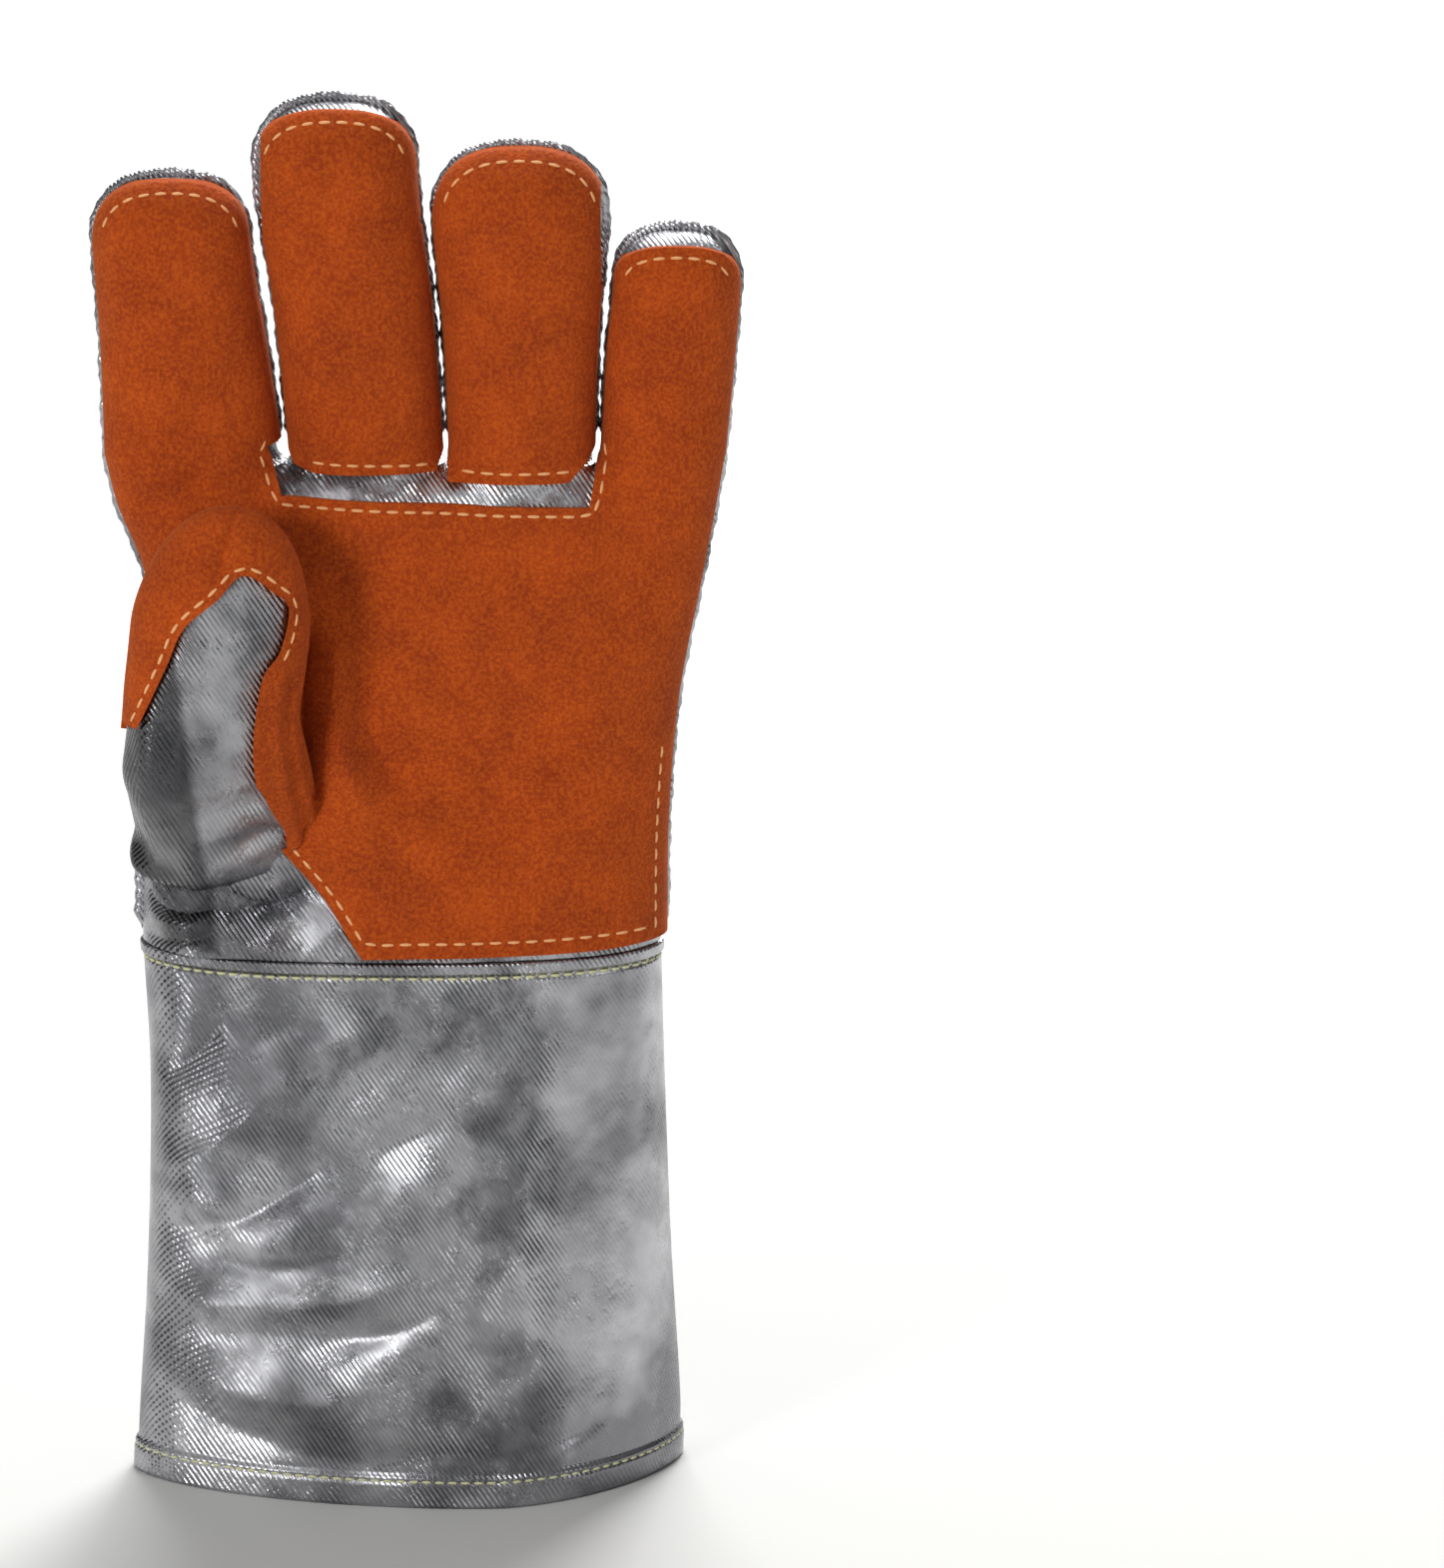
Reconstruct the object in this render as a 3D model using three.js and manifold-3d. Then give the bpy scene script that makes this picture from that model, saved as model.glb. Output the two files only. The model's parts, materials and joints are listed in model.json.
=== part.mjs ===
// Aluminised heat resistant gauntlet for the left hand, standing on its open cuff.
// Millimetres. X runs from the thumb to the little finger, the palm faces -Y and Z is up.
import * as THREE from "three";
import { mergeVertices } from "three/addons/utils/BufferGeometryUtils.js";
import Module from "manifold-3d";

const wasm = await Module();
wasm.setup();

// Driving dimensions
const cuffHeight = 148;
const cuffWidth = 148;
const cuffDepth = 84;
const palmLength = 133; // wrist seam to the foot of the fingers
const handWidth = 163; // across the feet of the four fingers
const handDepth = 58; // at the wrist
const fingerLength = 98.5; // the middle finger's
const fingerWidth = 44;
const fingerDepth = 30;
const fingerGap = 4.6; // between two finger shells
const webHeight = 14; // rounding of the cloth between two fingers
const thumbLength = 115; // height of the thumb over its foot inside the hand
const thumbWidth = 44;
const thumbDepth = 31;
const shellWall = 3; // aluminised cloth with its lining
const leatherWall = 1.4;
const seamGap = 0.3; // between two pieces that are sewn together
const hemHeight = 8;
const hemFold = 1.1; // how far the turned hem stands proud
const weltHeight = 4;
const weltRise = 0.8; // felled seam at the wrist
const fingerCurl = 10; // how far the fingertips lean to the palm
const hemTwist = 13; // how far the hem's thumb side stands in front of its other side
const notchWidth = 82; // cloth left bare under the middle and ring fingers
const notchHeight = 8.5;

// Places that follow from them
const wrist = cuffHeight + seamGap;
const crotch = cuffHeight + palmLength;
const reach = 2 * (palmLength + fingerLength + handWidth); // past every edge of the glove
const front = -1;
const back = 1;
const quarterTurn = Math.PI / 2;

// Roundness of the outlines, as powers: 2 is an ellipse, more is squarer.
const handEdgePower = 2.6;
const fingerWidthPower = 2.4;
const fingerDepthPower = 2.2;
const blendPower = 6; // how sharply a finger's bulge meets the palm
const domePower = 2.5;
const tubePower = 0.9; // of a sine, for the slightly square rounds of thumb and cuff

// How a finger's bulge dies away into the palm below it.
const bulgeLeft = 0.45; // share of its depth that stays
const bulgeReach = 1.4 * fingerWidth;
// Folds die away where the hand or cuff is thinner than this share of its depth.
const foldFade = 0.3;

// Hand, from the wrist seam (at 0) to the foot of the fingers (at 1).
// left and right are shares of handWidth, palm and rear are shares of half of handDepth.
const handSections = [
  { at: 0, left: 0.436, right: 0.425, palm: 1, rear: 1 },
  { at: 0.25, left: 0.428, right: 0.428, palm: 0.95, rear: 0.94 },
  { at: 0.5, left: 0.41, right: 0.445, palm: 0.84, rear: 0.86 },
  { at: 0.75, left: 0.414, right: 0.484, palm: 0.7, rear: 0.73 },
  { at: 0.9, left: 0.458, right: 0.507, palm: 0.6, rear: 0.62 },
  { at: 1, left: 0.477, right: 0.521, palm: 0.55, rear: 0.56 },
];

// Fingers. root is the share of the hand's width that a finger stands on, midX and endX are
// its middle line and shares of handWidth, midWide and endWide are shares of fingerWidth,
// length is a share of fingerLength and depth of fingerDepth.
const fingers = [
  { root: 0.29, midX: -0.355, midWide: 0.936, endX: -0.372, endWide: 0.885, length: 0.788, depth: 1 },
  { root: 0.262, midX: -0.076, midWide: 0.89, endX: -0.1025, endWide: 0.914, length: 1, depth: 1.03 },
  { root: 0.248, midX: 0.197, midWide: 0.877, endX: 0.197, endWide: 0.99, length: 0.869, depth: 1.03 },
  { root: 0.2, midX: 0.4405, midWide: 0.709, endX: 0.452, endWide: 0.7, length: 0.641, depth: 0.87 },
];
const fingerMid = 0.42; // places of midX and endX along a finger
const fingerEnd = 0.77;

// Cuff, from the hem (at 0) to the wrist (at 1). left and right are shares of cuffWidth,
// palm and rear of cuffDepth, peak is how far the front's crest stands off the middle,
// flat and round are the powers of the front's outline.
const cuffSections = [
  { at: 0, left: 0.5, right: 0.5, palm: 0.555, rear: 0.44, peak: 0.34, flat: 1.65, round: 1.6 },
  { at: 0.11, left: 0.495, right: 0.502, palm: 0.545, rear: 0.435, peak: 0.33, flat: 1.7, round: 1.65 },
  { at: 0.4, left: 0.477, right: 0.486, palm: 0.47, rear: 0.405, peak: 0.26, flat: 2.05, round: 1.8 },
  { at: 0.75, left: 0.469, right: 0.474, palm: 0.385, rear: 0.36, peak: 0.12, flat: 2.4, round: 1.9 },
];
const handAtWrist = {
  at: 1,
  left: (handSections[0].left * handWidth) / cuffWidth,
  right: (handSections[0].right * handWidth) / cuffWidth,
  palm: (handSections[0].palm * handDepth) / 2 / cuffDepth,
  rear: (handSections[0].rear * handDepth) / 2 / cuffDepth,
  peak: 0,
  flat: handEdgePower,
  round: 2,
};
const cuffTable = [...cuffSections, handAtWrist];

// Thumb, from its foot inside the hand (at 0) to its tip (at 1). x is a share of handWidth,
// y of half of handDepth, z of thumbLength over the foot, wide and deep of its half sizes.
const thumbFoot = 0.09; // share of palmLength over the wrist
const thumbSections = [
  { at: 0, x: -0.275, y: -0.1, z: 0, wide: 0.8, deep: 0.5 },
  { at: 0.2, x: -0.292, y: -0.5, z: 0.15, wide: 1.12, deep: 0.9 },
  { at: 0.38, x: -0.306, y: -0.98, z: 0.33, wide: 1.14, deep: 1 },
  { at: 0.56, x: -0.307, y: -1.3, z: 0.53, wide: 1.01, deep: 1 },
  { at: 0.74, x: -0.288, y: -1.42, z: 0.74, wide: 1, deep: 0.98 },
  { at: 1, x: -0.256, y: -1.42, z: 1, wide: 0.96, deep: 0.94 },
];
const thumbDome = 0.3; // share of the thumb that its rounded tip takes

// Folds and dents of the hand: x is a share of handWidth, z of palmLength over the wrist,
// turn is degrees from upright, long and wide are shares of palmLength, lift of handDepth.
const handFolds = [
  { side: front, x: -0.21, z: 0.11, turn: 66, long: 0.42, wide: 0.07, lift: -0.1 },
  { side: front, x: -0.32, z: 0.04, turn: 78, long: 0.42, wide: 0.06, lift: 0.07 },
  { side: front, x: -0.105, z: 0.44, turn: -14, long: 0.4, wide: 0.06, lift: 0.075 },
  { side: front, x: -0.04, z: 0.46, turn: -18, long: 0.44, wide: 0.06, lift: -0.055 },
  { side: front, x: 0.12, z: 0.4, turn: 24, long: 0.8, wide: 0.16, lift: -0.05 },
  { side: front, x: 0.3, z: 0.62, turn: -30, long: 0.5, wide: 0.1, lift: 0.04 },
  { side: back, x: -0.21, z: 0.84, turn: 35, long: 0.34, wide: 0.075, lift: 0.085 },
  { side: back, x: -0.1, z: 0.86, turn: -30, long: 0.3, wide: 0.07, lift: -0.07 },
  { side: back, x: 0.06, z: 0.84, turn: -34, long: 0.36, wide: 0.075, lift: 0.085 },
  { side: back, x: 0.2, z: 0.85, turn: 24, long: 0.3, wide: 0.07, lift: -0.065 },
  { side: back, x: 0.33, z: 0.83, turn: 28, long: 0.34, wide: 0.07, lift: 0.075 },
  { side: back, x: 0.14, z: 0.58, turn: 50, long: 0.62, wide: 0.1, lift: 0.085 },
  { side: back, x: -0.08, z: 0.52, turn: 42, long: 0.56, wide: 0.09, lift: -0.085 },
  { side: back, x: -0.28, z: 0.5, turn: -58, long: 0.36, wide: 0.075, lift: 0.08 },
  { side: back, x: -0.26, z: 0.34, turn: -68, long: 0.4, wide: 0.07, lift: -0.08 },
  { side: back, x: -0.16, z: 0.18, turn: 38, long: 0.44, wide: 0.09, lift: 0.07 },
  { side: back, x: 0.22, z: 0.26, turn: -34, long: 0.5, wide: 0.1, lift: -0.06 },
];

// Folds and dents of the cuff: x is a share of cuffWidth, z and long and wide of cuffHeight,
// turn is degrees from upright, lift is a share of cuffDepth.
const cuffFolds = [
  { side: front, x: -0.24, z: 0.74, turn: -68, long: 0.5, wide: 0.075, lift: 0.036 },
  { side: front, x: -0.26, z: 0.61, turn: -64, long: 0.46, wide: 0.06, lift: -0.03 },
  { side: front, x: -0.28, z: 0.5, turn: -60, long: 0.5, wide: 0.065, lift: 0.04 },
  { side: front, x: -0.2, z: 0.36, turn: -66, long: 0.46, wide: 0.065, lift: -0.04 },
  { side: front, x: -0.16, z: 0.2, turn: -72, long: 0.6, wide: 0.075, lift: 0.036 },
  { side: front, x: 0.3, z: 0.5, turn: 6, long: 1, wide: 0.12, lift: -0.045 },
  { side: front, x: 0.04, z: 0.6, turn: 14, long: 0.8, wide: 0.12, lift: 0.03 },
  { side: back, x: 0.18, z: 0.36, turn: 70, long: 0.7, wide: 0.09, lift: 0.045 },
  { side: back, x: -0.2, z: 0.25, turn: -64, long: 0.6, wide: 0.09, lift: 0.04 },
  { side: back, x: 0.05, z: 0.7, turn: 60, long: 0.7, wide: 0.11, lift: -0.045 },
  { side: back, x: -0.28, z: 0.6, turn: 8, long: 0.8, wide: 0.11, lift: -0.04 },
];

// Folds of the thumb: round is degrees about it (0 faces the front, 90 the fingers),
// at is the place along it, long a share of thumbLength, wide in degrees, lift of thumbDepth.
const thumbFolds = [
  { round: -38, at: 0.42, long: 0.5, wide: 24, lift: 0.09 },
  { round: -75, at: 0.3, long: 0.3, wide: 26, lift: -0.09 },
  { round: 28, at: 0.3, long: 0.3, wide: 20, lift: -0.06 },
  { round: -10, at: 0.12, long: 0.12, wide: 60, lift: 0.08 },
];

// Outlines of the leather, seen from the front: x from the middle and z over the cuff's foot.
const heel = { x: -0.066 * handWidth, z: wrist + 0.01 * palmLength }; // its lowest corner
const bay = { x: -0.157 * handWidth, z: wrist + 0.17 * palmLength }; // above it, under the thumb
const armpit = { x: -0.33 * handWidth, z: wrist + 0.42 * palmLength }; // behind the thumb
const notchLeft = -0.194 * handWidth;
const notchRight = notchLeft + notchWidth;
const notchFoot = crotch - notchHeight;
const notchTilt = 0.04 * notchWidth; // its thumb end is higher

// Smooth reading of one named column of a table, at a place along it.
function along(table, column, at) {
  const last = table.length - 1;
  const place = Math.min(Math.max(at, table[0].at), table[last].at);
  let i = 0;
  while (i < last - 1 && table[i + 1].at < place) i += 1;
  const slope = (k) => {
    const before = table[Math.max(k - 1, 0)];
    const after = table[Math.min(k + 1, last)];
    return (after[column] - before[column]) / (after.at - before.at);
  };
  const step = table[i + 1].at - table[i].at;
  const t = (place - table[i].at) / step;
  const level = table[i][column] + (table[i + 1][column] - table[i][column]) * (3 - 2 * t) * t * t;
  return level + step * (slope(i) * t * (1 - t) ** 2 - slope(i + 1) * t * t * (1 - t));
}

const smooth = (t) => {
  const clear = Math.min(Math.max(t, 0), 1);
  return clear * clear * (3 - 2 * clear);
};

const sine = (degrees) => Math.sin(THREE.MathUtils.degToRad(degrees));
const cosine = (degrees) => Math.cos(THREE.MathUtils.degToRad(degrees));
const rounded = (value) => Math.sign(value) * Math.abs(value) ** tubePower;

// Lift of a table of folds at one point: a ridge or a groove of round section that dies away at its ends.
function lifted(folds, side, x, z, unit) {
  let lift = 0;
  for (const fold of folds) {
    if (fold.side !== side) continue;
    const dx = x - fold.x * unit.x;
    const dz = z - fold.z * unit.z;
    const across = (dx * cosine(fold.turn) - dz * sine(fold.turn)) / (fold.wide * unit.z);
    const down = (dx * sine(fold.turn) + dz * cosine(fold.turn)) / (0.5 * fold.long * unit.z);
    lift += fold.lift * unit.lift * Math.exp(-across * across) * (1 - smooth(Math.abs(down)));
  }
  return lift;
}

// Solids

function manifoldOf(geometry, corners) {
  const vertProperties = geometry.getAttribute("position").array;
  return new wasm.Manifold(new wasm.Mesh({ numProp: 3, vertProperties, triVerts: new Uint32Array(corners) }));
}

// A closed surface from triangles of points; points that fall together become one.
function solid(triangles) {
  const places = new Float32Array(triangles.flat().flatMap((point) => point));
  const loose = new THREE.BufferGeometry();
  loose.setAttribute("position", new THREE.BufferAttribute(places, 3));
  const merged = mergeVertices(loose, 1e-3);
  const index = merged.index.array;
  const kept = [];
  for (let i = 0; i < index.length; i += 3) {
    const [a, b, c] = [index[i], index[i + 1], index[i + 2]];
    if (a !== b && b !== c && c !== a) kept.push(a, b, c);
  }
  return manifoldOf(merged, kept);
}

// Triangles of a grid of points whose rows go up and whose columns go to the right, seen from outside.
function gridTriangles(rows) {
  const triangles = [];
  for (let r = 0; r + 1 < rows.length; r += 1) {
    for (let c = 0; c + 1 < rows[r].length; c += 1) {
      const [a, b] = [rows[r][c], rows[r][c + 1]];
      const [d, e] = [rows[r + 1][c], rows[r + 1][c + 1]];
      triangles.push([a, b, e], [a, e, d]);
    }
  }
  return triangles;
}

// A flat or round lid on a closed ring of points, fanned out of one middle point.
function lidTriangles(ring, middle, up) {
  return ring.map((point, i) => {
    const next = ring[(i + 1) % ring.length];
    return up ? [middle, point, next] : [middle, next, point];
  });
}

// A prism along Y over an outline in X and Z.
function prism(outline, from, to) {
  const shape = new THREE.Shape(outline.map(([x, z]) => new THREE.Vector2(x, z)));
  const body = new THREE.ExtrudeGeometry(shape, { depth: to - from, bevelEnabled: false });
  body.rotateX(quarterTurn);
  body.translate(0, to, 0);
  body.deleteAttribute("normal");
  body.deleteAttribute("uv");
  const merged = mergeVertices(body.index ? body.toNonIndexed() : body, 1e-3);
  return manifoldOf(merged, merged.index.array);
}

// Hand

const halfGap = fingerGap / 2;
const slotRound = 1.6 * halfGap; // height over which the slot between two fingers opens
const fingerStep = 17; // between two rows of points
const outerColumns = 6; // across half of a finger
const innerColumns = 4;
const columnTurns = (offset) => {
  const columns = offset < 0 ? innerColumns : outerColumns;
  return Array.from({ length: columns + 1 }, (_, i) => (2 * i) / columns - 1);
};

// Edge of the strip under a finger: 0 is the thumb side, 4 the little finger's side.
function stripEdge(number, share, offset) {
  const left = -handWidth * along(handSections, "left", share) - offset;
  const right = handWidth * along(handSections, "right", share) + offset;
  if (number === 0) return left;
  if (number === fingers.length) return right;
  const roots = fingers.slice(0, number).reduce((sum, finger) => sum + finger.root, 0);
  return left + offset + (right - left - 2 * offset) * roots;
}

// Half depth of the hand's own oval at x; it falls to nothing between the feet of the fingers.
function palmDepth(side, x, share, offset) {
  const left = stripEdge(0, share, offset);
  const right = stripEdge(fingers.length, share, offset);
  const place = Math.min(Math.abs((2 * x - left - right) / (right - left)), 1);
  const column = side === front ? "palm" : "rear";
  const half = (handDepth / 2) * along(handSections, column, share) + offset;
  const webShare = 1 - webHeight / palmLength;
  const rise = Math.min(Math.max((share - webShare) / (1 - webShare), 0), 1);
  return half * Math.sqrt(1 - place ** handEdgePower) * Math.sqrt(1 - rise * rise);
}

// One row of points over a strip: below the fingers' feet it is part of the hand.
function palmRow(number, side, share, offset, z) {
  const finger = fingers[number];
  const from = stripEdge(number, share, offset);
  const to = stripEdge(number + 1, share, offset);
  const fade = bulgeLeft + (1 - bulgeLeft) * smooth(1 - ((1 - share) * palmLength) / bulgeReach);
  const half = (fingerDepth / 2) * finger.depth + offset;
  const unit = { x: handWidth, z: palmLength, lift: handDepth };
  return columnTurns(offset).map((turn) => {
    const angle = turn * quarterTurn;
    const across = Math.sign(turn) * Math.abs(Math.sin(angle)) ** (2 / fingerWidthPower);
    const x = (from + to) / 2 + ((to - from) / 2) * across;
    const own = fade * half * Math.abs(Math.cos(angle)) ** (2 / fingerDepthPower);
    const hand = palmDepth(side, x, share, offset);
    const depth = (own ** blendPower + hand ** blendPower) ** (1 / blendPower);
    const fold = lifted(handFolds, side, x, z - wrist, unit) * smooth(depth / (foldFade * handDepth));
    return [x, side * (depth + fold), z];
  });
}

// Middle line and half width along a finger's length.
function fingerShape(number) {
  const finger = fingers[number];
  const from = stripEdge(number, 1, 0) + (number === 0 ? 0 : halfGap);
  const to = stripEdge(number + 1, 1, 0) - (number === fingers.length - 1 ? 0 : halfGap);
  const end = { x: finger.endX * handWidth, wide: (finger.endWide * fingerWidth) / 2 };
  return [
    { at: 0, x: (from + to) / 2, wide: (to - from) / 2 },
    { at: fingerMid, x: finger.midX * handWidth, wide: (finger.midWide * fingerWidth) / 2 },
    { at: fingerEnd, ...end },
    { at: 1, ...end },
  ];
}

const domeShare = 0.95; // of half of the finger's width
const domeTurns = [28, 52, 74, 90]; // degrees up the dome, a row of points at each
const domeLength = (number) => (domeShare * fingers[number].endWide * fingerWidth) / 2;

// One row of points round half of a finger, at a height over the feet of the fingers.
function fingerRow(number, side, height, offset) {
  const finger = fingers[number];
  const length = finger.length * fingerLength;
  const dome = domeLength(number);
  const shape = fingerShape(number);
  const half = along(shape, "wide", height / length);
  const opening = Math.sqrt(1 - Math.max(0, 1 - (height - offset) / slotRound) ** 2);
  const inner = offset * opening + halfGap * (1 - opening);
  const from = along(shape, "x", height / length) - half - (number === 0 ? offset : inner);
  const to = along(shape, "x", height / length) + half + (number === fingers.length - 1 ? offset : inner);
  const past = Math.min(Math.max((height - length + dome) / (dome + offset), 0), 1);
  const wide = (1 - past ** domePower) ** (1 / domePower);
  const deep = (1 - past ** fingerDepthPower) ** (1 / 2);
  const depth = ((fingerDepth / 2) * finger.depth + offset) * deep;
  return columnTurns(offset).map((turn) => {
    const angle = turn * quarterTurn;
    const across = Math.sign(turn) * Math.abs(Math.sin(angle)) ** (2 / fingerWidthPower);
    const x = (from + to) / 2 + ((to - from) / 2) * across * wide;
    return [x, side * depth * Math.abs(Math.cos(angle)) ** (2 / fingerDepthPower), crotch + height];
  });
}

const outsideRows = 10; // of points up the palm
const hollowRows = 5;
const webTurns = [0, 30, 60, 90]; // degrees round the rounding between two fingers

// Hand with its four fingers, its surface moved out by an offset.
function handSolid(offset, foot) {
  const webShare = webHeight / palmLength;
  const palmRows = offset < 0 ? hollowRows : outsideRows;
  const shares = Array.from({ length: palmRows - 1 }, (_, i) => ((i + 1) / palmRows) * (1 - webShare));
  shares.push(...webTurns.map((turn) => 1 - webShare * (1 - sine(turn))));
  const triangles = [];
  const ring = [];
  const rim = [];
  for (const side of [front, back]) {
    fingers.forEach((finger, number) => {
      const rows = [palmRow(number, side, 0, offset, foot)];
      if (foot < wrist) rows.push(palmRow(number, side, 0, offset, wrist));
      for (const share of shares) {
        rows.push(palmRow(number, side, share, offset, wrist + share * (crotch + offset - wrist)));
      }
      const domeFoot = finger.length * fingerLength - domeLength(number);
      const slotFoot = offset + slotRound;
      const heights = [offset + 0.2 * slotRound, slotFoot];
      const steps = Math.round(domeFoot / fingerStep);
      for (let i = 1; i <= steps; i += 1) heights.push(slotFoot + ((domeFoot - slotFoot) * i) / steps);
      for (const turn of domeTurns) heights.push(domeFoot + (domeLength(number) + offset) * sine(turn));
      for (const height of heights) rows.push(fingerRow(number, side, height, offset));
      (side === front ? ring : rim).push(...rows[0].slice(number ? 1 : 0));
      triangles.push(...gridTriangles(side === front ? rows : rows.map((row) => [...row].reverse())));
    });
  }
  ring.push(...rim.slice(1, -1).reverse());
  triangles.push(...lidTriangles(ring, [0, 0, foot], false));
  return solid(triangles);
}

// Thumb

const thumbSides = 16;
const thumbSteps = 8; // rings below its dome
const thumbDomeTurns = [20, 38, 54, 68, 80];
const thumbFootZ = wrist + thumbFoot * palmLength;

function thumbSpine(at) {
  return new THREE.Vector3(
    along(thumbSections, "x", at) * handWidth,
    along(thumbSections, "y", at) * (handDepth / 2),
    thumbFootZ + along(thumbSections, "z", at) * thumbLength,
  );
}

// One ring of points round the thumb; past its dome's start the ring closes in to the tip.
function thumbRing(at, scaleWide, scaleDeep, push, offset) {
  const ahead = thumbSpine(Math.min(at + 0.01, 1));
  const behind = thumbSpine(Math.max(at - 0.01, 0));
  const direction = ahead.sub(behind).normalize();
  const acrossAxis = new THREE.Vector3(0, 1, 0).cross(direction).normalize();
  const depthAxis = new THREE.Vector3().crossVectors(direction, acrossAxis);
  const middle = thumbSpine(at).addScaledVector(direction, push);
  return Array.from({ length: thumbSides }, (_, i) => {
    const degrees = (360 * i) / thumbSides - 180;
    let swell = 0;
    for (const fold of thumbFolds) {
      const round = ((degrees - fold.round + 540) % 360) - 180;
      const down = (at - fold.at) / (0.5 * fold.long);
      swell += fold.lift * thumbDepth * Math.exp(-((round / fold.wide) ** 2)) * (1 - smooth(Math.abs(down)));
    }
    const angle = THREE.MathUtils.degToRad(degrees);
    const wide = ((thumbWidth / 2) * along(thumbSections, "wide", at) + offset + swell) * scaleWide;
    const deep = ((thumbDepth / 2) * along(thumbSections, "deep", at) + offset + swell) * scaleDeep;
    const across = wide * rounded(Math.sin(angle));
    const out = -deep * rounded(Math.cos(angle));
    return middle.clone().addScaledVector(acrossAxis, across).addScaledVector(depthAxis, out).toArray();
  });
}

function thumbSolid(offset) {
  const rings = [];
  const domeFrom = 1 - thumbDome;
  for (let i = 0; i <= thumbSteps; i += 1) {
    rings.push(thumbRing((domeFrom * i) / thumbSteps, 1, 1, 0, offset));
  }
  for (const turn of thumbDomeTurns) {
    const past = sine(turn);
    const wide = cosine(turn) ** tubePower;
    rings.push(thumbRing(domeFrom + thumbDome * past, wide, cosine(turn), offset * past, offset));
  }
  const tip = thumbSpine(1).add(new THREE.Vector3(0, 0, offset)).toArray();
  const closed = rings.map((ring) => [...ring, ring[0]]);
  return solid([
    ...gridTriangles(closed),
    ...lidTriangles(rings[0], thumbSpine(0).toArray(), false),
    ...lidTriangles(rings.at(-1), tip, true),
  ]);
}

// Cuff

const cuffColumns = 18; // round the front, and as many round the back

// One closed ring of the cuff at a height, its surface moved out by an offset.
function cuffRing(z, offset) {
  const at = z / cuffHeight;
  const left = -cuffWidth * along(cuffTable, "left", at) - offset;
  const right = cuffWidth * along(cuffTable, "right", at) + offset;
  const unit = { x: cuffWidth, z: cuffHeight, lift: cuffDepth };
  const points = [];
  for (const side of [front, back]) {
    const depth = cuffDepth * along(cuffTable, side === front ? "palm" : "rear", at) + offset;
    const peak = side === front ? along(cuffTable, "peak", at) : 0;
    const flat = side === front ? along(cuffTable, "flat", at) : handEdgePower;
    const round = side === front ? along(cuffTable, "round", at) : 2;
    for (let i = 0; i < cuffColumns; i += 1) {
      const turn = ((2 * i) / cuffColumns - 1) * quarterTurn;
      const across = -side * rounded(Math.sin(turn));
      const x = (left + right) / 2 + ((right - left) / 2) * across;
      const place = (across - peak) / (1 - peak * Math.sign(across - peak));
      const own = depth * (1 - Math.min(Math.abs(place), 1) ** flat) ** (1 / round);
      const edges = smooth(z / (3 * hemHeight)) * smooth((cuffHeight - z) / (3 * weltHeight));
      const fade = edges * smooth(own / (foldFade * cuffDepth));
      const y = side * (own + fade * lifted(cuffFolds, side, x, z, unit));
      points.push([x, y + (hemTwist * x * (1 - at)) / cuffWidth, z]);
    }
  }
  return points;
}

const cuffSteps = 8; // rows of points between hem and welt
const cuffInsideSteps = 5;
const hemSlope = 1.15; // the hem's upper edge slopes back to the cloth at this share of its height
const weltSlope = 1.3;

// Tube with a turned hem at its foot and the felled seam at its top.
function cuffSolid() {
  const from = hemSlope * hemHeight;
  const top = cuffHeight - weltSlope * weltHeight;
  const profile = [
    { z: 0, offset: hemFold / 2 },
    { z: 0.12 * hemHeight, offset: hemFold },
    { z: 0.85 * hemHeight, offset: hemFold },
  ];
  for (let i = 0; i <= cuffSteps; i += 1) {
    profile.push({ z: from + ((top - from) * i) / cuffSteps, offset: 0 });
  }
  profile.push({ z: cuffHeight - weltHeight, offset: weltRise });
  profile.push({ z: cuffHeight - 0.2 * weltHeight, offset: weltRise });
  profile.push({ z: cuffHeight, offset: 0 });
  for (let i = cuffInsideSteps; i >= 0; i -= 1) {
    profile.push({ z: (i / cuffInsideSteps) * cuffHeight, offset: -shellWall });
  }
  const rows = profile.map(({ z, offset }) => cuffRing(z, offset));
  rows.push(rows[0]);
  return solid(gridTriangles(rows.map((row) => [...row, row[0]])));
}

// Pieces: the shells are hollow, and the leather lies on them as a second skin.
const leatherFace = seamGap + leatherWall;
const halfSpace = (from, to) =>
  prism(
    [
      [-reach, -reach],
      [reach, -reach],
      [reach, reach],
      [-reach, reach],
    ],
    from,
    to,
  );
const frontSpace = halfSpace(-reach, -seamGap / 2);
const backSpace = halfSpace(seamGap / 2, reach);
const handShell = handSolid(0, wrist).subtract(handSolid(-shellWall, wrist - 2 * shellWall));
const handSeam = handSolid(seamGap, wrist);
const leatherSkin = handSolid(leatherFace, wrist).subtract(handSeam).intersect(frontSpace);
const thumbHollow = thumbSolid(-shellWall);
const thumbSeam = thumbSolid(seamGap);

const pastTips = crotch + 1.5 * fingerLength;

// Line up the middle of the slot before a finger, on past the tip of the shorter finger beside it.
const slotShares = [0.3, 0.6, 0.75, 0.87, 0.95, 1];
function slotLine(number) {
  const shorter = Math.min(fingers[number - 1].length, fingers[number].length) * fingerLength;
  const points = slotShares.map((share) => {
    const left = fingerRow(number - 1, front, share * shorter, leatherFace).at(-1)[0];
    const right = fingerRow(number, front, share * shorter, leatherFace)[0][0];
    return [(left + right) / 2, crotch + share * shorter];
  });
  return [...points, [points.at(-1)[0], pastTips]];
}

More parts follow.
